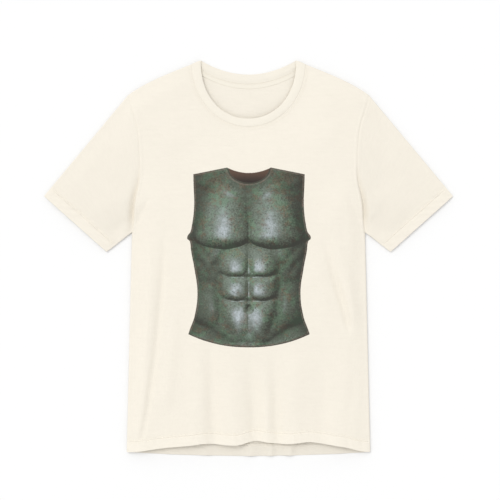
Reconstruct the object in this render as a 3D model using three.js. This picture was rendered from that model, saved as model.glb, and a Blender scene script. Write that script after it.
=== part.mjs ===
// A unisex crew-neck T-shirt of cotton jersey, laid on its back with the front up and softly lofted, so
// that its body, sleeves and neck stand open. Millimetres, +Z up, +Y towards the neck, and the origin under
// the middle of the shirt on the surface that it lies on. The two cloth layers are height fields over the
// shirt's outline: the upper layer carries the folds, and the lower one lies flat on the surface.
import * as THREE from "three";

// Cloth
const jersey = 1.2; // one layer of the body and sleeves
const ribbing = 2; // the neck rib, which is folded double
const tapeThickness = 0.8;
const seamGap = 0.6; // between the edges of two pieces at a seam
const layGap = 0.3; // between the neck tape and the panel under it

// Body outline, seen from the front
const bodyLength = 713; // highest shoulder point to the lowest point of the back hem
const hemWidth = 439;
const chestWidth = 0.957 * hemWidth; // between the two underarm points
const frontHemRise = 17; // how far the middle of the front hem arches up from its corners
const frontHemWave = 1.3;
const hemWaves = 5.4; // waves of the front hem across its width
const backHemDip = 7;
const bodyHemDepth = 22; // the turned-up hem
const hemThickness = 1.9;
const shoulderWidth = 0.9886 * hemWidth; // between the outer ends of the shoulder seams
const shoulderDrop = 62.5; // highest shoulder point down to the outer end of the shoulder seam
const shoulderRound = 10; // the part of that drop in which the shoulder turns down to the sleeve
const armholeDepth = 257;
const armholeHollow = 19; // how far the armhole seam curves in towards the chest

// Sleeves
const sleeveLength = 237; // along the upper fold
const sleeveSlope = 50.2; // degrees below level, of the upper fold
const sleeveHemWidth = 151;
const sleeveHemSlope = 41.7; // degrees below level, of the opening
const sleeveHemDepth = 20;
const sleeveRows = 6; // rows of points between the armhole and the hem

// Neck
const neckWidth = 171; // between the free edges of the rib at the shoulders
const frontNeckDrop = 103;
const backNeckDrop = 25;
const ribWidth = 17;
const tapeWidth = 8;
const tapeInset = 1; // below the seam
const tapeReach = 65; // degrees of the back neck seam to each side, that the tape runs along

// Loft: heights of the outer faces above the surface
const seamHeight = 5; // where the upper and lower layers meet at the outline
const chestLoft = 21; // in the middle of the body
const edgeLoft = 13.5; // near the hem, the neck and the armholes, and on the sleeves
const loftAcross = 150; // distance from the middle in which the loft falls off sideways
const loftAlong = 230; // the same along the body
const upperRoll = 14; // width of the roll at the outline, on the upper layer
const lowerRoll = 8;
const creaseHeight = 6; // bottom of the crease between body and sleeve, at the underarm
const creaseSeamHeight = 3; // where the layers meet at the underarm, instead of the seam height
const creaseOnBody = 7;
const creaseOnSleeve = 26;
const creaseTop = 0.5; // share of the armhole's depth at which the crease has faded out

// Main folds of the upper layer. x is a share of half the hem's width and y a share of the way from the hem
// corners to the highest shoulder point. Width is a share of the hem's width, and rise of the edge loft.
const frontFolds = [
  { fold: "left drape, hollow", x0: -0.7, y0: 0.64, x1: -0.86, y1: 0.03, width: 0.045, rise: -0.12 },
  { fold: "left drape, ridge", x0: -0.78, y0: 0.62, x1: -0.93, y1: 0.1, width: 0.05, rise: 0.12 },
  { fold: "right drape, hollow", x0: 0.63, y0: 0.6, x1: 0.87, y1: 0.27, width: 0.045, rise: -0.18 },
  { fold: "right drape, ridge", x0: 0.55, y0: 0.6, x1: 0.79, y1: 0.25, width: 0.06, rise: 0.14 },
  { fold: "hem ridge 1", x0: -0.37, y0: 0.38, x1: -0.4, y1: -0.02, width: 0.055, rise: 0.16 },
  { fold: "hem hollow 1", x0: -0.28, y0: 0.36, x1: -0.275, y1: -0.02, width: 0.045, rise: -0.18 },
  { fold: "hem ridge 2", x0: -0.1, y0: 0.36, x1: -0.045, y1: -0.02, width: 0.055, rise: 0.16 },
  { fold: "hem hollow 2", x0: 0.045, y0: 0.34, x1: 0.06, y1: -0.02, width: 0.045, rise: -0.19 },
  { fold: "hem ridge 3", x0: 0.14, y0: 0.34, x1: 0.15, y1: -0.02, width: 0.04, rise: 0.12 },
  { fold: "hem hollow 3", x0: 0.235, y0: 0.36, x1: 0.25, y1: -0.02, width: 0.045, rise: -0.18 },
  { fold: "hem ridge 4", x0: 0.36, y0: 0.38, x1: 0.36, y1: -0.02, width: 0.055, rise: 0.16 },
  { fold: "hem hollow 4", x0: 0.6, y0: 0.3, x1: 0.6, y1: 0, width: 0.055, rise: -0.09 },
  { fold: "hem ridge 5", x0: 0.79, y0: 0.3, x1: 0.74, y1: -0.02, width: 0.06, rise: 0.12 },
  { fold: "left underarm", x0: -0.86, y0: 0.7, x1: -0.7, y1: 0.45, width: 0.05, rise: 0.12 },
  { fold: "right underarm", x0: 0.86, y0: 0.7, x1: 0.72, y1: 0.45, width: 0.05, rise: 0.12 },
  { fold: "left sleeve", x0: -1, y0: 0.66, x1: -1.25, y1: 0.57, width: 0.07, rise: 0.09 },
  { fold: "right sleeve", x0: 1, y0: 0.66, x1: 1.25, y1: 0.57, width: 0.07, rise: 0.09 },
];

// Puckers of the lower layer, which rise off the surface where the back hem shows. Columns as above.
const backFolds = [
  { fold: "hem pucker 1", x0: -0.32, y0: 0.16, x1: -0.36, y1: -0.04, width: 0.05, rise: 0.09 },
  { fold: "hem pucker 2", x0: -0.02, y0: 0.2, x1: 0.02, y1: -0.04, width: 0.05, rise: 0.12 },
  { fold: "hem pucker 3", x0: 0.33, y0: 0.18, x1: 0.3, y1: -0.04, width: 0.05, rise: 0.1 },
  { fold: "hem pucker 4", x0: 0.7, y0: 0.14, x1: 0.76, y1: -0.02, width: 0.045, rise: 0.07 },
];

const { cos, sin, sqrt, hypot, min, max, abs, exp, PI } = Math;
const radians = THREE.MathUtils.degToRad;
const mix = (a, b, t) => a + (b - a) * t;
const mixPoint = (a, b, t) => [mix(a[0], b[0], t), mix(a[1], b[1], t)];
const span = (n) => Array.from({ length: n + 1 }, (_, i) => i / n);

// Plan of the right-hand half; the left is its mirror image
const neckTop = bodyLength / 2;
const hemCorner = [hemWidth / 2, -bodyLength / 2 + backHemDip];
const shoulderPoint = [shoulderWidth / 2, neckTop - shoulderDrop];
const underarm = [chestWidth / 2, shoulderPoint[1] - armholeDepth];
const sleeveTip = [
  shoulderPoint[0] + sleeveLength * cos(radians(sleeveSlope)),
  shoulderPoint[1] - sleeveLength * sin(radians(sleeveSlope)),
];
const sleeveUnderside = [
  sleeveTip[0] - sleeveHemWidth * cos(radians(sleeveHemSlope)),
  sleeveTip[1] - sleeveHemWidth * sin(radians(sleeveHemSlope)),
];
const neckSeamHalf = neckWidth / 2 + ribWidth;

// The shoulder line, from the neck outwards. It runs straight and then turns down to the sleeve.
const shoulderPath = span(12).map((t) => {
  const turn = 4.5;
  const drop = (shoulderDrop - shoulderRound) * t + shoulderRound * t ** turn;
  return [mix(neckWidth / 2, shoulderPoint[0], t), neckTop - drop];
});
function shoulderLine(x) {
  const next = max(1, shoulderPath.findIndex(([pathX]) => pathX >= x));
  const [a, b] = [shoulderPath[next - 1], shoulderPath[next]];
  return mix(a[1], b[1], (x - a[0]) / (b[0] - a[0]));
}

// The armhole seam, from the underarm at t = 0 to the shoulder at t = 1.
function armhole(t) {
  const low = 1.1;
  const high = 1;
  const fullest = low / (low + high);
  const shape = (t ** low * (1 - t) ** high) / (fullest ** low * (1 - fullest) ** high);
  const [x, y] = mixPoint(underarm, shoulderPoint, t);
  return [x - armholeHollow * shape, y];
}

// Neck curves: half width, height at the shoulder and height in the middle. The front is half an ellipse and
// the back a shallow parabola, both worked out at an angle from the middle, -90 to 90 degrees.
function frontNeck(half, sideY, middleY, angle) {
  return [half * sin(angle), mix(sideY, middleY, cos(angle))];
}
function backNeck(half, sideY, middleY, angle) {
  return [half * sin(angle), mix(sideY, middleY, cos(angle) ** 2)];
}
const frontNeckSeam = (angle, inset = 0) =>
  frontNeck(
    neckSeamHalf - inset,
    shoulderLine(neckSeamHalf - inset),
    neckTop - frontNeckDrop - ribWidth + inset,
    angle,
  );
const backNeckSeam = (angle, inset = 0) =>
  backNeck(
    neckSeamHalf - inset,
    shoulderLine(neckSeamHalf - inset),
    neckTop - backNeckDrop - ribWidth + inset,
    angle,
  );
const frontNeckEdge = (angle) => frontNeck(neckWidth / 2, neckTop, neckTop - frontNeckDrop, angle);
const backNeckEdge = (angle) => backNeck(neckWidth / 2, neckTop, neckTop - backNeckDrop, angle);

// Hems, at a share u of the hem's width from left to right.
function frontHem(u) {
  const side = 2 * u - 1;
  const wave = frontHemWave * cos(PI * hemWaves * side) * (1 - side * side);
  return [hemCorner[0] * side, hemCorner[1] + frontHemRise * (1 - abs(side) ** 2.2) + wave];
}
function backHem(u) {
  const side = 2 * u - 1;
  return [hemCorner[0] * side, hemCorner[1] - backHemDip * (1 - side * side)];
}

// The upper closed stretch of the outline: the shoulder seam and the sleeve's upper fold.
const shoulderToSleeve = [...shoulderPath, sleeveTip];
const armholeLine = span(16).map(armhole);

// How far a point lies to the right of the line from a to b.
function rightOf(a, b, x, y) {
  const [dx, dy] = [b[0] - a[0], b[1] - a[1]];
  return ((x - a[0]) * dy - (y - a[1]) * dx) / hypot(dx, dy);
}

// The nearest point of a path, as its distance and its share of the path's segments. The distance is
// negative to the left of the path.
function nearest(path, x, y) {
  let best = { distance: Infinity };
  for (let i = 0; i + 1 < path.length; i += 1) {
    const [ax, ay] = path[i];
    const [dx, dy] = [path[i + 1][0] - ax, path[i + 1][1] - ay];
    const along = ((x - ax) * dx + (y - ay) * dy) / (dx * dx + dy * dy);
    const t = min(1, max(0, along));
    const distance = hypot(x - ax - t * dx, y - ay - t * dy);
    if (distance < abs(best.distance)) {
      const side = rightOf(path[i], path[i + 1], x, y) < 0 ? -1 : 1;
      best = { distance: side * distance, share: (i + t) / (path.length - 1) };
    }
  }
  return best;
}

// Distance inwards from the closed stretches of the outline, where the two layers roll into each other.
function outlineDistance(x, y) {
  const fromUnderside = rightOf(sleeveUnderside, underarm, abs(x), y);
  const fromSide = rightOf(underarm, hemCorner, abs(x), y);
  return min(nearest(shoulderToSleeve, abs(x), y).distance, max(fromUnderside, fromSide));
}

// Quarter-round rise from 0 at the outline to 1 at the roll's width.
function roll(distance, width) {
  const rest = 1 - min(1, max(0, distance) / width);
  return sqrt(1 - rest * rest);
}

// The sum of a table's folds at a point: each is a rounded ridge or hollow that fades out at both ends.
function foldRise(folds, x, y) {
  const endFade = 0.3;
  const place = (sx, sy) => [sx * hemCorner[0], mix(hemCorner[1], neckTop, sy)];
  return folds.reduce((sum, row) => {
    const line = [place(row.x0, row.y0), place(row.x1, row.y1)];
    const { distance, share } = nearest(line, x, y);
    const across = max(0, 1 - (distance / (row.width * hemWidth)) ** 2) ** 2;
    const along = min(1, share / endFade);
    return sum + row.rise * edgeLoft * across * along * along * (3 - 2 * along);
  }, 0);
}

// How deep a point lies in the crease that parts the body's side from the sleeve, 0 to 1.
function creaseDepth(x, y) {
  const { distance, share } = nearest(armholeLine, abs(x), y);
  const onSleeve = abs(x) > armhole(share)[0];
  const width = onSleeve ? creaseOnSleeve : creaseOnBody;
  const fade = max(0, 1 - share / creaseTop);
  return exp(-((distance / width) ** 2)) * sqrt(fade);
}

// Height at which the two layers meet at the outline.
const meetingHeight = (x, y) => mix(seamHeight, creaseSeamHeight, creaseDepth(x, y));

// Outer face of the upper layer.
function upperLayer(x, y) {
  const across = exp(-((x / loftAcross) ** 2));
  const along = exp(-((y / loftAlong) ** 2));
  const loft = edgeLoft + (chestLoft - edgeLoft) * across * along;
  const lifted = loft + foldRise(frontFolds, x, y);
  const creased = mix(lifted, creaseHeight, creaseDepth(x, y));
  return mix(meetingHeight(x, y) + seamGap, creased, roll(outlineDistance(x, y), upperRoll));
}

// Outer face of the lower layer, which rests on the surface.
function lowerLayer(x, y) {
  const rising = roll(outlineDistance(x, y), lowerRoll);
  return mix(meetingHeight(x, y), foldRise(backFolds, x, y), rising);
}

// A point of the layer's outer face, and the inner one that lies the cloth's thickness under it. The face's
// slope comes from small steps, so it is nearly upright at the outline. Two pieces that meet at a seam take
// their slopes on the seam, so that their edges are parallel.
function clothPoint(layer, { at, slopeAt = at }, thickness) {
  const step = 0.002;
  const up = layer === upperLayer ? 1 : -1;
  const [seamX, seamY] = slopeAt;
  const [x, y] = at;
  const slopeX = (layer(seamX + step, seamY) - layer(seamX - step, seamY)) / (2 * step);
  const slopeY = (layer(seamX, seamY + step) - layer(seamX, seamY - step)) / (2 * step);
  const normal = new THREE.Vector3(-slopeX, -slopeY, 1).normalize().multiplyScalar(up);
  const outer = new THREE.Vector3(x, y, layer(x, y));
  return { outer, inner: outer.clone().addScaledVector(normal, -thickness) };
}

// A closed geometry from triangles, turned so that its faces point out.
function closedGeometry(points, triangles) {
  const volume = triangles.reduce(
    (sum, [a, b, c]) => sum + points[a].dot(new THREE.Vector3().crossVectors(points[b], points[c])),
    0,
  );
  const facing = volume < 0 ? triangles.map(([a, b, c]) => [a, c, b]) : triangles;
  return new THREE.BufferGeometry().setFromPoints(points).setIndex(facing.flat());
}

// The solid between the outer and inner faces of a grid of cloth points. A wrapped grid closes on itself
// across its columns, as a sleeve does.
function clothSolid(rows, wrapped = false) {
  const [height, width] = [rows.length, rows[0].length];
  const points = rows.flat().flatMap(({ outer, inner }) => [outer, inner]);
  const at = (row, column, face) => 2 * (row * width + (column % width)) + face;
  const triangles = [];
  const quad = (a, b, c, d) => triangles.push([a, b, c], [a, c, d]);
  const lastColumn = wrapped ? width : width - 1;
  for (let r = 0; r + 1 < height; r += 1) {
    for (let c = 0; c < lastColumn; c += 1) {
      quad(at(r, c, 0), at(r, c + 1, 0), at(r + 1, c + 1, 0), at(r + 1, c, 0));
      quad(at(r, c, 1), at(r + 1, c, 1), at(r + 1, c + 1, 1), at(r, c + 1, 1));
    }
  }
  for (let c = 0; c < lastColumn; c += 1) {
    quad(at(0, c, 0), at(0, c, 1), at(0, c + 1, 1), at(0, c + 1, 0));
    quad(at(height - 1, c, 0), at(height - 1, c + 1, 0), at(height - 1, c + 1, 1), at(height - 1, c, 1));
  }
  if (!wrapped) {
    for (let r = 0; r + 1 < height; r += 1) {
      quad(at(r, 0, 0), at(r + 1, 0, 0), at(r + 1, 0, 1), at(r, 0, 1));
      quad(at(r, width - 1, 0), at(r, width - 1, 1), at(r + 1, width - 1, 1), at(r + 1, width - 1, 0));
    }
  }
  return closedGeometry(points, triangles);
}

// Shares of a length at which rows of points lie: close together over the roll at the outline.
const rollSteps = [0, 0.07, 0.25, 0.57, 1];
const rollShares = (length) => rollSteps.map((step) => (step * upperRoll) / length);

// Stations along the armhole seam, which the panels and the sleeves share, so that their edges keep apart.
const armholeEnd = rollShares(armholeDepth);
const armholeShares = [
  ...armholeEnd,
  ...[0.13, 0.21, 0.3, 0.4, 0.5, 0.6, 0.7, 0.79, 0.87],
  ...armholeEnd.map((share) => 1 - share).reverse(),
];

// Stations along the neck seams, from left to right, which the panels and the rib share.
const bothWays = (angles) => [...angles.map((angle) => -angle), 0, ...[...angles].reverse()].map(radians);
const frontNeckAngles = bothWays([90, 88.5, 86, 81, 71, 59, 45, 30, 15]);
const backNeckAngles = bothWays([90, 83, 75, 65, 49, 33, 16]);

// A front or back panel, with its hem, side seams, armholes, shoulder seams and neck curve. Its rows run
// from the hem to the top edge, and its columns fan out from the neck towards the hem.
function bodyPanel({ layer, neckSeam, hem, neckAngles, sideRows }) {
  const fan = 0.6;
  const shoulderColumns = [...rollShares(shoulderPoint[0] - neckSeamHalf), 0.3, 0.48, 0.66, 0.84].map((t) => {
    const x = mix(shoulderPoint[0], neckSeamHalf, t);
    return [-x, shoulderLine(x)];
  });
  const mirrored = ([x, y]) => [-x, y];
  const topEdge = [
    ...shoulderColumns,
    ...neckAngles.map((angle) => neckSeam(angle)),
    ...shoulderColumns.map(mirrored).reverse(),
  ];
  const lengths = topEdge.map(([x, y], i) => (i ? hypot(x - topEdge[i - 1][0], y - topEdge[i - 1][1]) : 0));
  const lengthTo = (i) => lengths.slice(0, i + 1).reduce((sum, length) => sum + length, 0);
  const columnShares = topEdge.map((_, i) => lengthTo(i) / lengthTo(topEdge.length - 1));

  const sideLength = underarm[1] - hemCorner[1];
  const edgeLength = sideLength + armholeDepth;
  const sideShare = sideLength / edgeLength;
  const hemShare = bodyHemDepth / edgeLength;
  const hemEnd = hemShare + jersey / edgeLength;
  const sideX = (v) =>
    v < sideShare
      ? mix(hemCorner[0], underarm[0], v / sideShare)
      : armhole((v - sideShare) / (1 - sideShare))[0];
  const rowShares = [
    ...[0, hemShare],
    ...span(sideRows)
      .slice(0, -1)
      .map((t) => mix(hemEnd, sideShare, t)),
    ...armholeShares.map((share) => mix(sideShare, 1, share)),
  ];
  const rows = rowShares.map((v) => {
    const spread = (1 - v) ** fan;
    const edgeShift = sideX(v) - mix(shoulderPoint[0], hemCorner[0], spread);
    const thickness = v <= hemShare ? hemThickness : jersey;
    return topEdge.map(([topX, topY], i) => {
      const u = columnShares[i];
      const fromMiddle = 2 * u - 1;
      const [hemX, hemY] = hem(u);
      const x = mix(topX, hemX, spread) + edgeShift * fromMiddle ** 3;
      const y = mix(hemY, topY, v);
      const atArmhole = v >= sideShare && (i === 0 || i === topEdge.length - 1);
      const inset = atArmhole ? (fromMiddle * seamGap) / 2 : 0;
      return clothPoint(layer, { at: [x - inset, y], slopeAt: [x, y] }, thickness);
    });
  });
  return clothSolid(rows);
}

// A tube of two layers, flattened: the upper one crosses from one closed edge to the other and the lower one
// comes back. plan(layer, across, along) gives its points.
function flattenedTube({ plan, upperCrossings, lowerCrossings, stations }) {
  const back = lowerCrossings.slice(1, -1).reverse();
  const rows = stations.map(({ along, thickness }) => [
    ...upperCrossings.map((across) => clothPoint(upperLayer, plan(upperLayer, across, along), thickness)),
    ...back.map((across) => clothPoint(lowerLayer, plan(lowerLayer, across, along), thickness)),
  ]);
  return clothSolid(rows, true);
}

// A sleeve, from its armhole seam to its hem. side is 1 on the right of the plan and -1 on the left.
function sleeve(side) {
  const hemShare = 1 - sleeveHemDepth / sleeveLength;
  const bodyShares = span(sleeveRows).map((t) => mix(0, hemShare - jersey / sleeveLength, t));
  const stations = [
    ...bodyShares.map((along) => ({ along, thickness: jersey })),
    { along: hemShare, thickness: hemThickness },
    { along: 1, thickness: hemThickness },
  ];
  const plan = (layer, across, along) => {
    const opening = mixPoint(sleeveUnderside, sleeveTip, across);
    const [x, y] = mixPoint(armhole(across), opening, along);
    const clear = (seamGap / 2) * (1 - along);
    return { at: [side * (x + clear), y], slopeAt: [side * x, y] };
  };
  return flattenedTube({ plan, upperCrossings: armholeShares, lowerCrossings: armholeShares, stations });
}

// The neck rib: one loop, seamed to both panels, with a rounded free edge.
function neckRib() {
  const edge = 0.9;
  const stations = [
    { along: 0, thickness: jersey },
    { along: 1 - edge, thickness: ribbing },
    { along: edge, thickness: ribbing },
    { along: 1, thickness: jersey },
  ];
  const plan = (layer, angle, along) => {
    const [neckSeam, neckEdge] =
      layer === upperLayer ? [frontNeckSeam, frontNeckEdge] : [backNeckSeam, backNeckEdge];
    const free = neckEdge(angle);
    const at = mixPoint(neckSeam(angle, seamGap), free, along);
    return { at, slopeAt: along === 0 ? neckSeam(angle) : at };
  };
  return flattenedTube({
    plan,
    upperCrossings: frontNeckAngles,
    lowerCrossings: backNeckAngles,
    stations,
  });
}

// The tape that covers the back neck seam, on the inside of the back panel.
function neckTape() {
  const angles = span(18).map((t) => radians(mix(-tapeReach, tapeReach, t)));
  const lift = jersey + layGap + tapeThickness;
  const rows = [tapeInset, tapeInset + tapeWidth].map((below) =>
    angles.map((angle) => {
      const [x, y] = backNeckSeam(angle);
      const upper = new THREE.Vector3(x, y - below, lowerLayer(x, y - below) + lift);
      return { outer: upper, inner: upper.clone().setZ(upper.z - tapeThickness) };
    }),
  );
  return clothSolid(rows);
}

const shirt = new THREE.Group();
function addPiece(name, geometry, color) {
  const material = new THREE.MeshStandardMaterial({ color, roughness: 0.92, metalness: 0 });
  const piece = new THREE.Mesh(geometry, material);
  piece.name = name;
  shirt.add(piece);
}

const creamJersey = 0xf5eee1;
const creamRib = 0xf6efe2;
const creamTape = 0xf3ebdb;

addPiece(
  "front_panel",
  bodyPanel({
    layer: upperLayer,
    neckSeam: frontNeckSeam,
    hem: frontHem,
    neckAngles: frontNeckAngles,
    sideRows: 12,
  }),
  creamJersey,
);
addPiece(
  "back_panel",
  bodyPanel({
    layer: lowerLayer,
    neckSeam: backNeckSeam,
    hem: backHem,
    neckAngles: backNeckAngles,
    sideRows: 6,
  }),
  creamJersey,
);
addPiece("sleeve_left", sleeve(1), creamJersey);
addPiece("sleeve_right", sleeve(-1), creamJersey);
addPiece("neck_rib", neckRib(), creamRib);
addPiece("neck_tape", neckTape(), creamTape);

export default shirt;
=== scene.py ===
"""A cream crew-neck T-shirt of cotton jersey, laid on its back on a pale floor.

The front panel, back panel, sleeves, neck rib and neck tape are closed shells of cloth over the shirt's plan,
with drape, creases, turned-up hems and twin-needle stitching. A muscle cuirass is printed on the chest.
"""

import logging
import math
from dataclasses import asdict, dataclass
from enum import Enum
from typing import Callable, Sequence

import bmesh
import bpy
import numpy as np
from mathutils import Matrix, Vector


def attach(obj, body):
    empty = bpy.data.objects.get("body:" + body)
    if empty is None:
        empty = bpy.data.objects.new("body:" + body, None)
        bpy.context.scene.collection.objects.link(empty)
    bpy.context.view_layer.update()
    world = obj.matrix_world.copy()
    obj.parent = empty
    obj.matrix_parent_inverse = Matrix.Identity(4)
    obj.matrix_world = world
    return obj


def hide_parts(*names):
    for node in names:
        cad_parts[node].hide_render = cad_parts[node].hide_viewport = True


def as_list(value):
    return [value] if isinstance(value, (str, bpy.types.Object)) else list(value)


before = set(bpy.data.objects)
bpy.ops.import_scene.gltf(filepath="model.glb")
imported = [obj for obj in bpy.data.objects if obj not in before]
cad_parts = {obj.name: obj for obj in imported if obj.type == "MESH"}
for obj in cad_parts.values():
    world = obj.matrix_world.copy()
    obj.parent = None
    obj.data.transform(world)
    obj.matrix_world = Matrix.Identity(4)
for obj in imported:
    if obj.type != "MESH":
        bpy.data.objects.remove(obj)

logging.basicConfig(level=logging.INFO, format="%(name)s: %(message)s")
log = logging.getLogger("shirt")

Array = np.ndarray
Point = tuple[float, float]
Colour = tuple[float, float, float, float]

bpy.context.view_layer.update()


class Layer(Enum):
    """The two layers of cloth that the shirt lies in."""

    UPPER = "upper"
    LOWER = "lower"


class Side(Enum):
    """The sides of the shirt, as the wearer's left and right."""

    LEFT = 1
    RIGHT = -1


@dataclass(frozen=True)
class ShirtSizes:
    """Sizes of the laid shirt, in metres and degrees."""

    # Thicknesses
    jersey: float = 0.0009
    hem_thickness: float = 0.0017
    ribbing: float = 0.0019
    tape: float = 0.0004

    # Plan of the body
    body_length: float = 0.713
    hem_width: float = 0.439
    chest_width: float = 0.4201
    back_hem_dip: float = 0.007
    body_hem_depth: float = 0.022
    shoulder_width: float = 0.434
    shoulder_drop: float = 0.0625
    shoulder_round: float = 0.010
    shoulder_power: float = 4.5
    armhole_depth: float = 0.247

    # Plan of the sleeves
    sleeve_length: float = 0.237
    sleeve_slope: float = 50.2
    sleeve_hem_width: float = 0.151
    sleeve_hem_slope: float = 41.7
    sleeve_hem_depth: float = 0.022

    # Plan of the neck
    neck_width: float = 0.171
    front_neck_drop: float = 0.103
    back_neck_drop: float = 0.025
    rib_width: float = 0.017
    rib_edge_drop: float = 0.0016
    rib_edge_fullness: float = 0.0022
    tape_width: float = 0.008
    tape_gap: float = 0.0001
    tape_reach: float = 65.0

    # Heights of the upper layer, and how far each free edge's height reaches inwards
    chest_loft: float = 0.021
    edge_loft: float = 0.0125
    loft_across: float = 0.150
    loft_along: float = 0.230
    neck_lift: float = 0.0074
    neck_fall: float = 0.060
    hem_lift: float = 0.0125
    hem_fall: float = 0.075
    sleeve_loft: float = 0.0080
    sleeve_loft_from: Point = (0.19, -0.02)
    sleeve_loft_ease: Point = (0.06, 0.05)
    sleeve_hem_lift: float = 0.0052
    sleeve_hem_fall: float = 0.045
    fold_gain: float = 2.0
    unevenness: float = 0.0016
    unevenness_along: float = 0.7

    # Least space between the layers, and how softly the upper one comes to rest there
    least_gap: float = 0.0009
    least_round: float = 0.0008

    # Lower layer: its unevenness, how much closer that lies, and its share of the seams' grooves
    back_rise: float = 0.0002
    back_unevenness: float = 0.6
    back_closeness: float = 1.4
    back_seams: float = 0.8

    # Edges where the layers roll into each other: edge_share of the rise is a round of width edge_roll
    seam_height: float = 0.0036
    layer_gap: float = 0.0003
    edge_roll: float = 0.0030
    edge_share: float = 0.28
    upper_roll: float = 0.034
    lower_roll: float = 0.008

    # Creases between the body's sides and the sleeves, up to a share of the armhole
    crease_height: float = 0.0025
    crease_seam_height: float = 0.0028
    crease_on_body: float = 0.0018
    crease_on_sleeve: float = 0.0075
    crease_top: float = 0.50
    crease_power: float = 0.6

    # Groove of the neck seam
    neck_groove: float = 0.0004
    neck_groove_width: float = 0.0013

    # Hems: the band's step, the stitched rows and their grooves, the ripples, and the lower layer's part
    hem_rise: float = 0.0009
    hem_step: float = 0.0016
    hem_round: float = 0.0008
    row_inset: float = 0.0004
    row_gap: float = 0.0032
    row_groove: float = 0.0010
    row_groove_width: float = 0.0009
    ripple_place: float = 0.6
    ripple_slant: float = 120.0
    pull_inset: float = 0.002
    pressed_hem: float = 0.5
    pressed_reach: float = 0.03


@dataclass(frozen=True)
class Fold:
    """A ridge or hollow of a cloth layer.

    Attributes:
        name: what the fold is; left and right are as seen from above.
        path: points, as shares of half the hem's width and of the height from the hem corners to the neck.
        width: half width, in metres.
        rise: height in metres, negative for a hollow.
        fade: shares of the path over which it fades in and out.
    """

    name: str
    path: tuple[Point, ...]
    width: float
    rise: float
    fade: Point = (0.3, 0.0)


def paired(name: str, path: tuple[Point, ...], width: float, rise: float, fade: Point) -> tuple[Fold, ...]:
    """Make a fold on the left side and the same one on the right.

    Args:
        name: what it is.
        path: its path on the right side.
        width: its half width.
        rise: its height.
        fade: shares over which it fades.

    Returns:
        The left fold and the right one.
    """
    left = tuple((-x, y) for x, y in path)
    return Fold(f"left {name}", left, width, rise, fade), Fold(f"right {name}", path, width, rise, fade)


FRONT_FOLDS = (
    Fold(
        name="left drape",
        path=((-0.66, 0.66), (-0.71, 0.42), (-0.76, 0.25), (-0.82, 0.12), (-0.87, 0.04)),
        width=0.0055,
        rise=-0.0014,
    ),
    Fold("left drape crest", ((-0.76, 0.62), (-0.81, 0.36), (-0.88, 0.14), (-0.92, 0.05)), 0.013, 0.0018),
    Fold("left drape inner", ((-0.59, 0.40), (-0.64, 0.22), (-0.70, 0.08)), 0.012, 0.0012, (0.4, 0.3)),
    Fold(
        name="right drape",
        path=((0.59, 0.58), (0.70, 0.45), (0.78, 0.37), (0.85, 0.29)),
        width=0.006,
        rise=-0.0022,
        fade=(0.45, 0.2),
    ),
    Fold(
        name="right drape crest",
        path=((0.64, 0.62), (0.77, 0.47), (0.86, 0.37), (0.90, 0.29)),
        width=0.013,
        rise=0.002,
        fade=(0.4, 0.3),
    ),
    Fold("right drape inner", ((0.50, 0.52), (0.60, 0.42), (0.70, 0.30)), 0.015, 0.0010, (0.4, 0.4)),
    Fold("right side hollow", ((0.84, 0.31), (0.86, 0.20), (0.85, 0.08)), 0.010, -0.0010, (0.3, 0.3)),
    Fold("hem ridge 1", ((-0.44, 0.34), (-0.42, 0.15), (-0.40, -0.03)), 0.018, 0.0016, (0.6, 0.0)),
    Fold("hem hollow 1", ((-0.33, 0.36), (-0.30, 0.18), (-0.28, -0.03)), 0.011, -0.0020, (0.6, 0.0)),
    Fold("hem ridge 2", ((-0.17, 0.34), (-0.13, 0.16), (-0.10, -0.03)), 0.018, 0.0018, (0.6, 0.0)),
    Fold("hem hollow 2", ((0.00, 0.30), (0.04, 0.14), (0.07, -0.03)), 0.012, -0.0024, (0.6, 0.0)),
    Fold("hem ridge 3", ((0.13, 0.28), (0.15, 0.12), (0.15, -0.03)), 0.009, 0.0012, (0.6, 0.0)),
    Fold("hem hollow 3", ((0.20, 0.30), (0.23, 0.14), (0.25, -0.03)), 0.010, -0.0020, (0.6, 0.0)),
    Fold("hem ridge 4", ((0.38, 0.34), (0.38, 0.16), (0.36, -0.03)), 0.020, 0.0018, (0.6, 0.0)),
    Fold("hem hollow 4", ((0.60, 0.28), (0.61, 0.14), (0.60, -0.01)), 0.014, -0.0010, (0.6, 0.0)),
    Fold("hem ridge 5", ((0.76, 0.20), (0.75, 0.10), (0.73, -0.03)), 0.016, 0.0013, (0.6, 0.0)),
    Fold("left chest", ((-0.82, 0.72), (-0.70, 0.60), (-0.58, 0.50)), 0.020, 0.0012, (0.4, 0.5)),
    Fold("right chest", ((0.84, 0.72), (0.72, 0.62), (0.60, 0.54)), 0.020, 0.0012, (0.4, 0.5)),
    *paired("shoulder", ((0.80, 0.86), (0.62, 0.80), (0.45, 0.77)), 0.022, 0.0009, (0.4, 0.5)),
    *paired("sleeve crest", ((1.00, 0.66), (1.14, 0.63), (1.28, 0.58)), 0.024, 0.0012, (0.3, 0.3)),
    *paired("sleeve hollow", ((0.97, 0.60), (1.08, 0.565), (1.16, 0.545)), 0.012, -0.0012, (0.2, 0.5)),
    *paired("cap", ((0.93, 0.84), (1.06, 0.74), (1.20, 0.68)), 0.022, 0.0009, (0.4, 0.5)),
)

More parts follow.
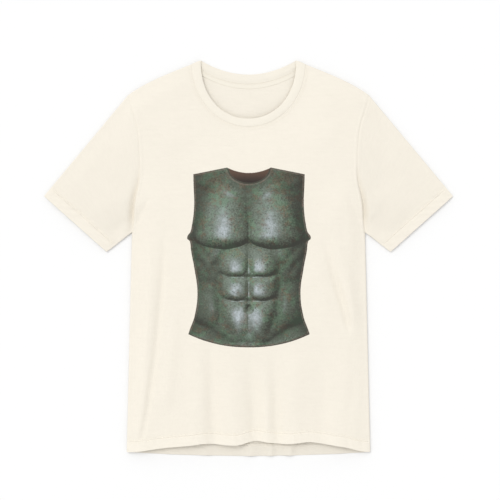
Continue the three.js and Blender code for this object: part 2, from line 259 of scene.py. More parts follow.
BACK_FOLDS = (
    Fold("hem pucker 1", ((-0.60, 0.10), (-0.62, 0.04), (-0.64, -0.04)), 0.010, 0.0012),
    Fold("hem pucker 2", ((-0.32, 0.16), (-0.34, 0.06), (-0.36, -0.04)), 0.012, 0.0020),
    Fold("hem pucker 3", ((-0.02, 0.20), (0.00, 0.08), (0.02, -0.04)), 0.010, 0.0036),
    Fold("hem pucker 4", ((0.16, 0.14), (0.17, 0.05), (0.19, -0.04)), 0.006, 0.0036),
    Fold("hem pucker 5", ((0.36, 0.18), (0.35, 0.07), (0.33, -0.04)), 0.008, 0.0042),
    Fold("hem pucker 6", ((0.70, 0.14), (0.73, 0.06), (0.76, -0.02)), 0.012, 0.0012),
)

# Share of the armhole from the underarm, and how far the seam curves in there
ARMHOLE_HOLLOW = (
    (0.000, 0.0000),
    (0.030, 0.0010),
    (0.103, 0.0028),
    (0.198, 0.0046),
    (0.272, 0.0082),
    (0.334, 0.0132),
    (0.387, 0.0160),
    (0.511, 0.0180),
    (0.635, 0.0181),
    (0.760, 0.0156),
    (0.832, 0.0105),
    (0.917, 0.0042),
    (1.000, 0.0000),
)

# Place across the front hem from -1 to 1, and how far the hem lies above its corners
FRONT_HEM_WAVES = (
    (-1.000, 0.0000),
    (-0.923, 0.0006),
    (-0.726, 0.0074),
    (-0.455, 0.0130),
    (-0.398, 0.0159),
    (-0.324, 0.0162),
    (-0.176, 0.0132),
    (-0.070, 0.0132),
    (0.004, 0.0196),
    (0.086, 0.0209),
    (0.193, 0.0169),
    (0.307, 0.0152),
    (0.463, 0.0187),
    (0.504, 0.0195),
    (0.652, 0.0146),
    (0.800, 0.0096),
    (0.914, 0.0022),
    (1.000, 0.0000),
)

# Share of a cloth's thickness that is left at its rounded edge
LEAST_EDGE = 0.12

# Lengths of the cloth's broad unevenness, in metres
WAVE_LENGTHS = (0.19, 0.15, 0.12, 0.10, 0.085, 0.07, 0.06, 0.05, 0.043, 0.036)


def mix(a: Array | float, b: Array | float, t: Array | float) -> Array | float:
    """Blend linearly from a to b."""
    return a + (b - a) * t


def smooth(t: Array | float) -> Array:
    """Ease from 0 to 1 as t runs from 0 to 1."""
    t = np.clip(t, 0.0, 1.0)
    return t * t * (3 - 2 * t)


def bell(distance: Array, width: float | Array) -> Array:
    """Fall off from 1 as a bell curve of the given half width."""
    return np.exp(-((distance / width) ** 2))


def roll(distance: Array, width: float) -> Array:
    """Rise as a quarter round, from 0 at the outline to 1 at the roll's width."""
    rest = 1 - np.clip(distance / width, 0.0, 1.0)
    return np.sqrt(1 - rest * rest)


def nearest(path: Sequence[Point], x: Array, y: Array) -> tuple[Array, Array]:
    """Find the nearest point of a path.

    Args:
        path: the path's points.
        x: plan coordinates of the points asked about.
        y: the same, along the body.

    Returns:
        The distances, negative to the left of the path, and the shares of the path's segments.
    """
    best = np.full(np.shape(x), 1e9)
    share = np.zeros(np.shape(x))
    count = len(path) - 1
    for i, ((ax, ay), (bx, by)) in enumerate(zip(path[:-1], path[1:])):
        dx, dy = bx - ax, by - ay
        t = np.clip(((x - ax) * dx + (y - ay) * dy) / (dx * dx + dy * dy), 0.0, 1.0)
        distance = np.hypot(x - ax - t * dx, y - ay - t * dy)
        side = np.where((x - ax) * dy - (y - ay) * dx < 0, -1.0, 1.0)
        closer = distance < np.abs(best)
        best = np.where(closer, side * distance, best)
        share = np.where(closer, (i + t) / count, share)
    return best, share


def right_of(a: Point, b: Point, x: Array, y: Array) -> Array:
    """How far points lie to the right of the line from a to b."""
    dx, dy = b[0] - a[0], b[1] - a[1]
    return ((x - a[0]) * dy - (y - a[1]) * dx) / math.hypot(dx, dy)


def sampled(curve: Callable[[float], tuple[Array, Array]], stations: Sequence[float]) -> list[Point]:
    """Points of a curve at the given stations."""
    return [tuple(map(float, curve(t))) for t in stations]


def eased(table: Sequence[Point], count: int, reach: int) -> tuple[Array, Array]:
    """Even out a table's corners.

    Args:
        table: pairs of a station and a value.
        count: number of stations to give.
        reach: how many stations to each side a corner is spread over.

    Returns:
        The stations and the values, with both end values kept.
    """
    at = np.linspace(table[0][0], table[-1][0], count)
    values = np.pad(np.interp(at, *zip(*table)), reach, mode="reflect", reflect_type="odd")
    window = np.hanning(2 * reach + 1)
    return at, np.convolve(values, window / window.sum(), mode="valid")


@dataclass(frozen=True)
class Welt:
    """A ridge beside the armhole seam, or a groove where it is negative, in metres.

    Attributes:
        on_body: its height on the body.
        on_sleeve: its height on the sleeve.
        away: distance of its middle from the seam.
        width: half width.
    """

    on_body: float
    on_sleeve: float
    away: float
    width: float


@dataclass(frozen=True)
class Ripple:
    """Small uneven waves beside a seam or on a hem.

    Attributes:
        height: height of the waves, in metres.
        reach: half width of the band that they fade out over.
        rate: radians for each unit along.
        drift: how far the spacing wanders, in radians.
        drift_rate: radians of that wandering for each unit along.
    """

    height: float
    reach: float
    rate: float
    drift: float
    drift_rate: float

    def at(self, distance: Array, along: Array, shift: Array | float = 0.0) -> Array:
        """Height at a distance from the band's middle and a place along it."""
        wave = np.sin(along * self.rate + shift + np.sin(along * self.drift_rate) * self.drift)
        return self.height * wave * bell(distance, self.reach)


ARMHOLE_WELTS = (
    Welt(-0.0006, -0.0006, 0.0, 0.0016),
    Welt(0.0004, 0.0002, 0.0038, 0.0022),
    Welt(-0.00025, 0.0, 0.0072, 0.0010),
)
ARMHOLE_RIPPLE = Ripple(0.00012, 0.008, 173, 2.0, 31)
NECK_RIPPLE = Ripple(0.00010, 0.007, 120, 2.5, 17)
HEM_RIPPLE = Ripple(0.0003, 0.0121, 410, 1.8, 67)
HEM_PULL = Ripple(0.00022, 0.0045, 620, 2.2, 93)


@dataclass
class ShirtForm:
    """The laid shirt's plan curves and the heights of its two layers.

    Attributes:
        sizes: the shirt's sizes.
    """

    sizes: ShirtSizes = ShirtSizes()

    def __post_init__(self) -> None:
        """Work out the plan's corners and curves."""
        s = self.sizes
        slope, hem_slope = math.radians(s.sleeve_slope), math.radians(s.sleeve_hem_slope)
        self.neck_top = s.body_length / 2
        self.hem_corner = (s.hem_width / 2, -s.body_length / 2 + s.back_hem_dip)
        self.shoulder = (s.shoulder_width / 2, self.neck_top - s.shoulder_drop)
        self.underarm = (s.chest_width / 2, self.shoulder[1] - s.armhole_depth)
        self.sleeve_tip = (
            self.shoulder[0] + s.sleeve_length * math.cos(slope),
            self.shoulder[1] - s.sleeve_length * math.sin(slope),
        )
        self.sleeve_underside = (
            self.sleeve_tip[0] - s.sleeve_hem_width * math.cos(hem_slope),
            self.sleeve_tip[1] - s.sleeve_hem_width * math.sin(hem_slope),
        )
        self.neck_seam_half = s.neck_width / 2 + s.rib_width
        shares = np.linspace(0, 1, 61)
        drop = (s.shoulder_drop - s.shoulder_round) * shares + s.shoulder_round * shares**s.shoulder_power
        self.shoulder_x = mix(s.neck_width / 2, self.shoulder[0], shares)
        self.shoulder_y = self.neck_top - drop
        self.upper_edge = [*zip(self.shoulder_x.tolist(), self.shoulder_y.tolist()), self.sleeve_tip]
        self.hem_side, self.hem_rise = eased(FRONT_HEM_WAVES, 401, 15)
        self.armhole_t, self.armhole_hollow = eased(ARMHOLE_HOLLOW, 201, 14)
        quarter = [math.radians(angle) for angle in range(0, 91, 3)]
        self.armhole_path = sampled(self.armhole, np.linspace(0, 1, 33))
        self.rim_path = sampled(lambda angle: self.neck_edge(Layer.UPPER, angle), quarter)
        self.neck_paths = {
            layer: sampled(lambda angle: self.neck_seam(layer, angle), quarter) for layer in Layer
        }
        rng = np.random.default_rng(11)
        self.waves = [(rng.uniform(0, math.tau), rng.uniform(0, math.tau), length) for length in WAVE_LENGTHS]

    def shoulder_line(self, x: Array | float) -> Array:
        """Height of the shoulder line in the plan, at a distance x from the middle."""
        return np.interp(x, self.shoulder_x, self.shoulder_y)

    def armhole(self, t: Array | float) -> tuple[Array, Array]:
        """Point of the armhole seam, from the underarm at t = 0 to the shoulder at t = 1."""
        x = mix(self.underarm[0], self.shoulder[0], t) - np.interp(t, self.armhole_t, self.armhole_hollow)
        return x, mix(self.underarm[1], self.shoulder[1], t)

    def neck_drop(self, layer: Layer) -> float:
        """How far the rib's free edge lies below the neck's top, in the middle of a layer."""
        return self.sizes.front_neck_drop if layer is Layer.UPPER else self.sizes.back_neck_drop

    def neck_curve(
        self, layer: Layer, half: float, side_y: float, drop: float, angle: Array
    ) -> tuple[Array, Array]:
        """Half an ellipse at the front and a shallow bow at the back.

        Args:
            layer: the front's layer or the back's.
            half: half the curve's width.
            side_y: height in the plan of its two ends.
            drop: how far its middle lies below the neck's top.
            angle: angle from the middle, in radians.

        Returns:
            The curve's point in the plan.
        """
        power = 1 if layer is Layer.UPPER else 2
        return half * np.sin(angle), mix(side_y, self.neck_top - drop, np.cos(angle) ** power)

    def neck_seam(self, layer: Layer, angle: Array, outset: float = 0.0) -> tuple[Array, Array]:
        """Point of the seam between the rib and a panel, moved out by outset.

        Args:
            layer: the front's layer or the back's.
            angle: angle from the middle, in radians.
            outset: distance outside the seam.

        Returns:
            The point in the plan.
        """
        half = self.neck_seam_half + outset
        drop = self.neck_drop(layer) + self.sizes.rib_width + outset
        return self.neck_curve(layer, half, float(self.shoulder_line(half)), drop, angle)

    def neck_edge(self, layer: Layer, angle: Array) -> tuple[Array, Array]:
        """Point of the rib's free edge, a little fuller than an ellipse at the front.

        Args:
            layer: the front's layer or the back's.
            angle: angle from the middle, in radians.

        Returns:
            The point in the plan.
        """
        s = self.sizes
        half, drop = s.neck_width / 2, self.neck_drop(layer)
        if layer is Layer.LOWER:
            return self.neck_curve(layer, half, self.neck_top, drop, angle)
        x, y = self.neck_curve(layer, half, self.neck_top, drop + s.rib_edge_drop, angle)
        full = s.rib_edge_fullness
        return x + full * np.sin(2 * angle), y - full / 2 * np.sin(2 * np.abs(angle))

    def hem(self, layer: Layer, u: Array) -> tuple[Array, Array]:
        """Point of a body hem, at a share u of its width from left to right.

        Args:
            layer: the front's layer or the back's.
            u: share of the hem's width.

        Returns:
            The point in the plan.
        """
        side = 2 * u - 1
        if layer is Layer.LOWER:
            return self.hem_corner[0] * side, self.hem_corner[1] - self.sizes.back_hem_dip * (1 - side * side)
        return self.hem_corner[0] * side, self.hem_corner[1] + np.interp(side, self.hem_side, self.hem_rise)

    def outline_distance(self, x: Array, y: Array) -> Array:
        """Distance inwards from the outline where the two layers roll into each other.

        Args:
            x: plan coordinates.
            y: the same, along the body.

        Returns:
            The distance.
        """
        x = np.abs(x)
        from_underside = right_of(self.sleeve_underside, self.underarm, x, y)
        from_side = right_of(self.underarm, self.hem_corner, x, y)
        return np.minimum(nearest(self.upper_edge, x, y)[0], np.maximum(from_underside, from_side))

    def fold_rise(self, folds: Sequence[Fold], x: Array, y: Array) -> Array:
        """Sum of a table's folds.

        Args:
            folds: the table.
            x: plan coordinates.
            y: the same, along the body.

        Returns:
            How far the folds stand out.
        """
        total = np.zeros(np.shape(x))
        for fold in folds:
            half, low = self.hem_corner
            path = [(px * half, mix(low, self.neck_top, py)) for px, py in fold.path]
            distance, share = nearest(path, x, y)
            fade = smooth(share / fold.fade[0])
            if fold.fade[1]:
                fade = fade * smooth((1 - share) / fold.fade[1])
            total += fold.rise * bell(distance, fold.width) * fade
        return total

    def crease_depth(self, x: Array, y: Array) -> Array:
        """How deep points lie in the crease that parts the body's side from the sleeve, 0 to 1.

        Args:
            x: plan coordinates.
            y: the same, along the body.

        Returns:
            The depth.
        """
        s = self.sizes
        distance, share = nearest(self.armhole_path, np.abs(x), y)
        on_sleeve = np.abs(x) > self.armhole(share)[0]
        width = np.where(on_sleeve, s.crease_on_sleeve, s.crease_on_body)
        return bell(distance, width) * smooth(1 - share / s.crease_top) ** s.crease_power

    def seam_relief(self, layer: Layer, x: Array, y: Array) -> Array:
        """The grooves and small puckers along the armhole and neck seams.

        Args:
            layer: the layer.
            x: plan coordinates.
            y: the same, along the body.

        Returns:
            How far they stand out.
        """
        armhole, along = nearest(self.armhole_path, np.abs(x), y)
        neck, round_neck = nearest(self.neck_paths[layer], np.abs(x), y)
        on_body = np.abs(x) < self.armhole(along)[0]
        relief = ARMHOLE_RIPPLE.at(armhole, along) + NECK_RIPPLE.at(neck, round_neck)
        for welt in ARMHOLE_WELTS:
            rise = np.where(on_body, welt.on_body, welt.on_sleeve)
            relief = relief + rise * bell(np.abs(armhole) - welt.away, welt.width)
        return relief - self.sizes.neck_groove * bell(neck, self.sizes.neck_groove_width)

    def undulation(self, x: Array, y: Array) -> Array:
        """Broad, shallow unevenness of the cloth.

        Args:
            x: plan coordinates.
            y: the same, along the body.

        Returns:
            How far it stands out.
        """
        total = np.zeros(np.shape(x))
        for angle, phase, length in self.waves:
            across = x * math.cos(angle) + y * math.sin(angle) * self.sizes.unevenness_along
            total += length * np.sin(math.tau * across / length + phase)
        return total * self.sizes.unevenness

    def hem_band(self, from_edge: Array, depth: float) -> Array:
        """How far points belong to a turned-up hem of a depth, 0 to 1."""
        step = self.sizes.hem_step
        return smooth((depth + 0.75 * step - from_edge) / step)

    def row_depths(self, depth: float) -> tuple[float, float]:
        """Distances of the two stitched rows from the edge of a hem of a depth."""
        s = self.sizes
        return depth - s.row_inset, depth - s.row_inset - s.row_gap

    def hem_relief(self, layer: Layer, from_edge: Array, along: Array, depth: float) -> Array:
        """The turned-up hem's band: raised, with grooves under its twin stitching and small ripples.

        Args:
            layer: the layer it is on; the lower one is pressed flat by the floor.
            from_edge: distance from the hem's edge.
            along: distance along the hem.
            depth: the band's depth.

        Returns:
            How far the outer face stands out.
        """
        s = self.sizes
        grooves = sum(bell(from_edge - row, s.row_groove_width) for row in self.row_depths(depth))
        raised = s.hem_rise * self.hem_band(from_edge, depth) - s.row_groove * grooves
        raised = raised + HEM_RIPPLE.at(from_edge - depth * s.ripple_place, along, from_edge * s.ripple_slant)
        raised = raised + HEM_PULL.at(from_edge - depth + s.pull_inset, along)
        if layer is Layer.UPPER:
            return raised
        near = bell(np.maximum(from_edge - depth, 0), s.pressed_reach)
        return s.pressed_hem * np.minimum(raised - s.hem_rise, 0) * near

    def loft(self, x: Array, y: Array) -> Array:
        """Height of the upper layer without its folds: full at the chest and low along its free edges.

        Args:
            x: plan coordinates.
            y: the same, along the body.

        Returns:
            The height.
        """
        s = self.sizes
        side = np.abs(x)
        from_opening = -right_of(self.sleeve_underside, self.sleeve_tip, side, y)
        from_rim = np.abs(nearest(self.rim_path, side, y)[0])
        from_hem = y - self.hem(Layer.UPPER, np.clip(x / s.hem_width + 0.5, 0, 1))[1]
        full = mix(s.edge_loft, s.chest_loft, bell(x, s.loft_across) * bell(y, s.loft_along))
        sleeve = mix(s.sleeve_loft, s.sleeve_hem_lift, bell(np.maximum(from_opening, 0), s.sleeve_hem_fall))
        (from_x, from_y), (ease_x, ease_y) = s.sleeve_loft_from, s.sleeve_loft_ease
        full = mix(full, sleeve, smooth((side - from_x) / ease_x) * smooth((y - from_y) / ease_y))
        full = mix(full, s.neck_lift, bell(from_rim, s.neck_fall))
        return mix(full, s.hem_lift, bell(np.maximum(from_hem, 0), s.hem_fall))

    def height(self, layer: Layer, x: Array, y: Array) -> Array:
        """Height of a layer's outer face.

        Args:
            layer: the layer.
            x: plan coordinates.
            y: the same, along the body.

        Returns:
            The height.
        """
        s = self.sizes
        distance = self.outline_distance(x, y)
        crease = self.crease_depth(x, y)
        meeting = mix(s.seam_height, s.crease_seam_height, crease)
        back_folds = np.maximum(self.fold_rise(BACK_FOLDS, x, y), 0)
        seams = self.seam_relief(layer, x, y)
        if layer is Layer.LOWER:
            uneven = self.undulation(s.back_closeness * x, s.back_closeness * y)
            raised = np.maximum(s.back_rise + s.back_unevenness * uneven, 0)
            relief = back_folds + raised - np.minimum(seams, 0) * s.back_seams
            return mix(meeting, relief, roll(distance, s.lower_roll))
        lifted = self.loft(x, y) + self.fold_rise(FRONT_FOLDS, x, y) * s.fold_gain + self.undulation(x, y)
        lowest = back_folds + 2 * s.hem_thickness + s.least_gap
        lifted = (lifted + lowest + np.hypot(lifted - lowest, s.least_round)) / 2 + seams
        rise = mix(smooth(distance / s.upper_roll), roll(distance, s.edge_roll), s.edge_share)
        return mix(meeting + s.layer_gap, mix(lifted, s.crease_height, crease), rise)

    def surface(self, layer: Layer, x: Array, y: Array) -> tuple[Array, Array]:
        """Points of a layer's outer face.

        Args:
            layer: the layer.
            x: plan coordinates.
            y: the same, along the body.

        Returns:
            The points and the outward normals there.
        """
        step = 2e-6
        z = self.height(layer, x, y)
        slope_x = (self.height(layer, x + step, y) - self.height(layer, x - step, y)) / (2 * step)
        slope_y = (self.height(layer, x, y + step) - self.height(layer, x, y - step)) / (2 * step)
        normal = np.stack([-slope_x, -slope_y, np.ones_like(z)], axis=-1)
        normal /= np.linalg.norm(normal, axis=-1, keepdims=True)
        return np.stack([x, y, z], axis=-1), normal if layer is Layer.UPPER else -normal


@dataclass
class ClothGrid:
    """Rows of cloth points with their normals, thicknesses and flat-pattern coordinates.

    Attributes:
        outer: outer face, rows by columns by 3.
        normal: outward normals.
        thickness: cloth thickness at each point.
        flat: flat-pattern coordinates in metres, rows by columns by 2.
        band: how far each point belongs to a turned-up hem, 0 to 1.
        wrapped: whether the last column joins the first.
        inner_band: the same as band on the inner face, where it differs; below 0 is painted shade, which
            darkens the cloth.
    """

    outer: Array
    normal: Array
    thickness: Array
    flat: Array
    band: Array
    wrapped: bool = False
    inner_band: Array | None = None

    def to_object(self, name: str, material: bpy.types.Material) -> bpy.types.Object:
        """Build the closed shell between the outer and inner faces.

        Args:
            name: the object's name.
            material: its finish.

        Returns:
            The new object, with a UV map of the flat pattern.
        """
        inner = self.outer - self.normal * self.thickness[..., None]
        points = np.concatenate([self.outer.reshape(-1, 3), inner.reshape(-1, 3)])
        mesh = bpy.data.meshes.new(name)
        mesh.from_pydata(points.tolist(), [], self._quads().tolist())
        self._unwrap(mesh)
        # The inner face's band values below 0 are painted shade.
        band_and_shade_values = np.stack([self.band, self.band if self.inner_band is None else self.inner_band])
        band_and_shade = mesh.attributes.new("band", "FLOAT", "POINT")
        band_and_shade.data.foreach_set("value", band_and_shade_values.astype(np.float32).ravel())
        mesh.shade_smooth()
        mesh.materials.append(material)
        self._face_out(mesh)
        obj = bpy.data.objects.new(name, mesh)
        bpy.context.collection.objects.link(obj)
        log.info("%s: %d faces", name, len(mesh.polygons))
        return obj

    def _quads(self) -> Array:
        """Corners of the faces: the outer face, the inner one and the strips between their edges.

        Returns:
            Four corners for each face.
        """
        rows, columns = self.thickness.shape
        index = np.arange(rows * columns).reshape(rows, columns)
        if self.wrapped:
            index = np.concatenate([index, index[:, :1]], axis=1)
        below = rows * columns
        corners = [index[:-1, :-1], index[:-1, 1:], index[1:, 1:], index[1:, :-1]]
        top = np.stack(corners, axis=-1).reshape(-1, 4)
        edges = [(index[0, :-1], index[0, 1:]), (index[-1, 1:], index[-1, :-1])]
        if not self.wrapped:
            edges += [(index[1:, 0], index[:-1, 0]), (index[:-1, -1], index[1:, -1])]
        strips = [np.stack([p, p + below, q + below, q], axis=-1) for p, q in edges]
        return np.concatenate([top, top[:, ::-1] + below, *strips])

    def _unwrap(self, mesh: bpy.types.Mesh) -> None:
        """Give the mesh its flat pattern, which runs on past the last column where a tube closes.

        Args:
            mesh: the cloth's mesh.
        """
        rows, columns = self.thickness.shape
        corners = np.empty(len(mesh.loops), dtype=np.int32)
        mesh.loops.foreach_get("vertex_index", corners)
        coordinates = np.concatenate([self.flat.reshape(-1, 2)] * 2)[corners]
        if self.wrapped:
            girth = float((self.flat[0, -1, 0] - self.flat[0, 0, 0]) * columns / (columns - 1))
            column = corners % (rows * columns) % columns
            per_face = column.reshape(-1, 4)
            closing = (per_face.max(axis=1) == columns - 1) & (per_face.min(axis=1) == 0)
            coordinates[np.repeat(closing, 4) & (column == 0), 0] += girth
        uv = mesh.uv_layers.new(name="flat")
        uv.data.foreach_set("uv", coordinates.astype(np.float32).ravel())

    @staticmethod
    def _face_out(mesh: bpy.types.Mesh) -> None:
        """Turn the shell's faces outwards.

        Args:
            mesh: the cloth's mesh.
        """
        work = bmesh.new()
        work.from_mesh(mesh)
        if work.calc_volume(signed=True) < 0:
            bmesh.ops.reverse_faces(work, faces=work.faces)
            work.to_mesh(mesh)
        work.free()


def edge_round(from_edge: Array, radius: float) -> Array:
    """Share of the full thickness at a distance from a rounded cloth edge."""
    return np.maximum(LEAST_EDGE, roll(from_edge, radius))


def spaced(fine: Sequence[float], length: float, step: float, fine_end: Sequence[float] = ()) -> Array:
    """Stations along a length: fine ones at the start, even ones between, and fine ones at the end.

    Args:
        fine: stations near the start.
        length: the whole length.
        step: distance between the even stations.
        fine_end: stations near the end, as distances from it.

    Returns:
        The stations, from 0 to the length.
    """
    start, end = fine[-1], length - (fine_end[-1] if len(fine_end) else 0.0)
    between = np.linspace(start, end, max(2, round((end - start) / step)) + 1)
    tail = [length - d for d in reversed(list(fine_end)[:-1])]
    return np.array([*list(fine)[:-1], *between, *tail])


ROLL_STATIONS = (0.0, 0.0002, 0.0006, 0.0012, 0.002, 0.003, 0.0042, 0.0056, 0.0072, 0.009, 0.011, 0.014)
HEM_STATIONS = (
    *(0.0, 0.0001, 0.0003, 0.0006, 0.0009, 0.0015),
    *np.arange(0.0028, 0.0150, 0.0015),
    *np.arange(0.0152, 0.0252, 0.0006),
)
RIB_STATIONS = (0.0, 0.0001, 0.0003, 0.0006, 0.0010, 0.0016)
TAPE_STATIONS = (0.0, 0.0002, 0.0005, *(0.001 * i for i in range(1, 8)), 0.0075, 0.0078, 0.008)


def turn_up(
    form: ShirtForm, outer: Array, normal: Array, relief: Array, hem: tuple[Array, float]
) -> tuple[Array, Array, Array]:
    """Give cloth its turned-up hem.

    Args:
        form: the shirt's form.
        outer: outer face.
        normal: outward normals.
        relief: how far the hem's relief stands out.
        hem: distances from the hem's edge, and the hem's depth.

    Returns:
        The outer face with the hem's relief and rounded edge, the thickness, and the hem's band.
    """
    band = form.hem_band(*hem)
    thickness = mix(form.sizes.jersey, form.sizes.hem_thickness, band)
    rounding = edge_round(hem[0], form.sizes.hem_round)
    return outer + normal * (relief - thickness * (1 - rounding) / 2)[..., None], thickness * rounding, band


@dataclass(frozen=True)
class BodyPanel:
    """A front or back panel of the body, with its turned-up hem.

    Attributes:
        form: the shirt's form.
        layer: the layer that the panel is.
        step: distance between its rows and columns, in metres.
        neck_arc: length of the neck curve that the columns are spread over.
        hem_clear: distance from the side edges over which the hem's relief fades.
        row_power: how soon the rows spread from the top edge's width to the hem's.
        side_power: how much of the sides' curve the inner columns share; more is less.
        shade: how much darker the inner face is near the hem, for the back: painted shade under the front's
            hem, as a band value below 0.
        shade_reach: how far from the hem.
    """

    form: ShirtForm
    layer: Layer
    step: float
    neck_arc: float = 0.34
    hem_clear: float = 0.006
    row_power: float = 0.6
    side_power: int = 3
    shade: float = -2.5
    shade_reach: float = 0.045

    def _top_edge(self) -> tuple[Array, Array, Array]:
        """Follow the shoulder seams and the neck curve from left to right.

        Returns:
            Plan coordinates of their points, and shares of the length.
        """
        form = self.form
        run = form.shoulder[0] - form.neck_seam_half
        shoulder_x = form.shoulder[0] - spaced(ROLL_STATIONS, run, self.step)
        angles = np.radians(np.linspace(-90, 90, round(self.neck_arc / self.step / 2) * 2 + 1))[1:-1]
        neck_x, neck_y = form.neck_seam(self.layer, angles)
        shoulder_y = form.shoulder_line(shoulder_x)
        x = np.concatenate([-shoulder_x, neck_x, shoulder_x[::-1]])
        y = np.concatenate([shoulder_y, neck_y, shoulder_y[::-1]])
        lengths = np.concatenate([[0], np.cumsum(np.hypot(np.diff(x), np.diff(y)))])
        return x, y, lengths / lengths[-1]

    def _plan(self) -> tuple[Array, Array, Array]:
        """Spread rows between the hem and the top edge.

        Returns:
            Plan coordinates, a row for each station from the hem, and distances from the hem.
        """
        form = self.form
        top_x, top_y, u = self._top_edge()
        side_length = form.underarm[1] - form.hem_corner[1]
        edge_length = side_length + form.sizes.armhole_depth
        v = (spaced(HEM_STATIONS, edge_length, self.step, ROLL_STATIONS) / edge_length)[:, None]
        side_share = side_length / edge_length
        armhole_t = np.clip((v - side_share) / (1 - side_share), 0, 1)
        below = mix(form.hem_corner[0], form.underarm[0], v / side_share)
        side_x = np.where(v < side_share, below, form.armhole(armhole_t)[0])
        spread = np.maximum(0.0, 1 - v) ** self.row_power
        hem_x, hem_y = form.hem(self.layer, u[None, :])
        shift = side_x - mix(form.shoulder[0], form.hem_corner[0], spread)
        x = mix(top_x[None, :], hem_x, spread) + shift * (2 * u[None, :] - 1) ** self.side_power
        y = mix(hem_y, top_y[None, :], v)
        return x, y, np.hypot(x - hem_x, y - hem_y)

    def grid(self) -> ClothGrid:
        """Lay the panel's rows and columns over its plan and give them heights.

        Returns:
            The panel's cloth.
        """
        form, depth = self.form, self.form.sizes.body_hem_depth
        x, y, from_edge = self._plan()
        outer, normal = form.surface(self.layer, x, y)
        relief = form.hem_relief(self.layer, from_edge, x, depth)
        relief = relief * smooth(form.outline_distance(x, y) / self.hem_clear)
        outer, thickness, band = turn_up(form, outer, normal, relief, (from_edge, depth))
        # Painted shade: the back's inner face is darkened near the hem, where the front hem overhangs it.
        shaded = self.shade * bell(from_edge, self.shade_reach) if self.layer is Layer.LOWER else None
        return ClothGrid(outer, normal, thickness, np.stack([x, y], axis=-1), band, inner_band=shaded)


@dataclass(frozen=True)
class FlatTube:
    """A tube of cloth pressed flat, whose upper layer crosses over and whose lower layer comes back.

    Attributes:
        form: the shirt's form.
    """

    form: ShirtForm

    def plan(self, layer: Layer, across: Array, from_edge: Array) -> tuple[Array, Array]:
        """Plan point at a crossing share and a distance from the tube's free edge."""
        raise NotImplementedError

    def crossings(self, layer: Layer) -> Array:
        """Crossing shares or angles of a layer, with both closed edges."""
        raise NotImplementedError

    def wrap(self, from_edge: Array) -> tuple[Array, ...]:
        """Go round the tube at each distance from its free edge.

        Args:
            from_edge: the distances.

        Returns:
            Points, normals, plan coordinates, a mask of the upper layer, and flat-pattern coordinates.
        """
        parts = []
        for layer in Layer:
            across = self.crossings(layer)
            if layer is Layer.LOWER:
                across = across[1:-1][::-1]
            x, y = self.plan(layer, across[None, :], from_edge[:, None])
            parts.append((*self.form.surface(layer, x, y), x, y, np.full(x.shape, layer is Layer.UPPER)))
        outer, normal, x, y, upper = (np.concatenate(columns, axis=1) for columns in zip(*parts))
        steps = np.hypot(np.diff(x[-1], prepend=x[-1, :1]), np.diff(y[-1], prepend=y[-1, :1]))
        along = np.broadcast_to(from_edge[:, None], x.shape)
        flat = np.stack([np.broadcast_to(np.cumsum(steps), x.shape), along], axis=-1)
        return outer, normal, x, y, upper, flat


@dataclass(frozen=True)
class Sleeve(FlatTube):
    """A short set-in sleeve, with its turned-up hem.

    Attributes:
        side: the wearer's side.
        step: distance between its rows and columns, in metres.
        hem_clear: distance from the closed edges over which the hem's relief fades.
        even_share: depth in hems up to which the rows stay even.
    """

    side: Side
    step: float = 0.0028
    hem_clear: float = 0.010
    even_share: float = 1.2

    def crossings(self, layer: Layer) -> Array:
        """Shares of the armhole from the underarm to the shoulder."""
        depth = self.form.sizes.armhole_depth
        return spaced(ROLL_STATIONS, depth, self.step, ROLL_STATIONS) / depth

    def plan(self, layer: Layer, across: Array, from_edge: Array) -> tuple[Array, Array]:
        """Plan point between the opening and the armhole seam, with rows that stay even over the hem.

        Args:
            layer: the layer; not used.
            across: crossing shares or angles.
            from_edge: distances from the free edge.

        Returns:
            The plan coordinates.
        """
        form, s = self.form, self.form.sizes
        seam_x, seam_y = form.armhole(across)
        low, high = form.sleeve_underside, form.sleeve_tip
        hem_x, hem_y = mix(low[0], high[0], across), mix(low[1], high[1], across)
        even = self.even_share * s.sleeve_hem_depth
        beyond = np.clip((from_edge - even) / (s.sleeve_length - even), 0, 1)
        back = mix(np.minimum(from_edge, even) / np.hypot(hem_x - seam_x, hem_y - seam_y), 1.0, beyond)
        return self.side.value * mix(hem_x, seam_x, back), mix(hem_y, seam_y, back)

    def relief(self, layer: Layer, x: Array, y: Array, from_edge: Array) -> Array:
        """Relief of the hem, which fades towards the sleeve's closed edges."""
        fade = smooth(self.form.outline_distance(x, y) / self.hem_clear)
        return self.form.hem_relief(layer, from_edge, y, self.form.sizes.sleeve_hem_depth) * fade

    def grid(self) -> ClothGrid:
        """Lay the sleeve's rows round it, from the hem to the armhole.

        Returns:
            The sleeve's cloth.
        """
        s = self.form.sizes
        rows = spaced(HEM_STATIONS, s.sleeve_length, self.step, ROLL_STATIONS)
        outer, normal, x, y, upper, flat = self.wrap(rows)
        from_edge = flat[..., 1]
        relief = np.where(upper, *(self.relief(layer, x, y, from_edge) for layer in Layer))
        outer, thickness, band = turn_up(self.form, outer, normal, relief, (from_edge, s.sleeve_hem_depth))
        return ClothGrid(outer, normal, thickness, flat, band, wrapped=True)


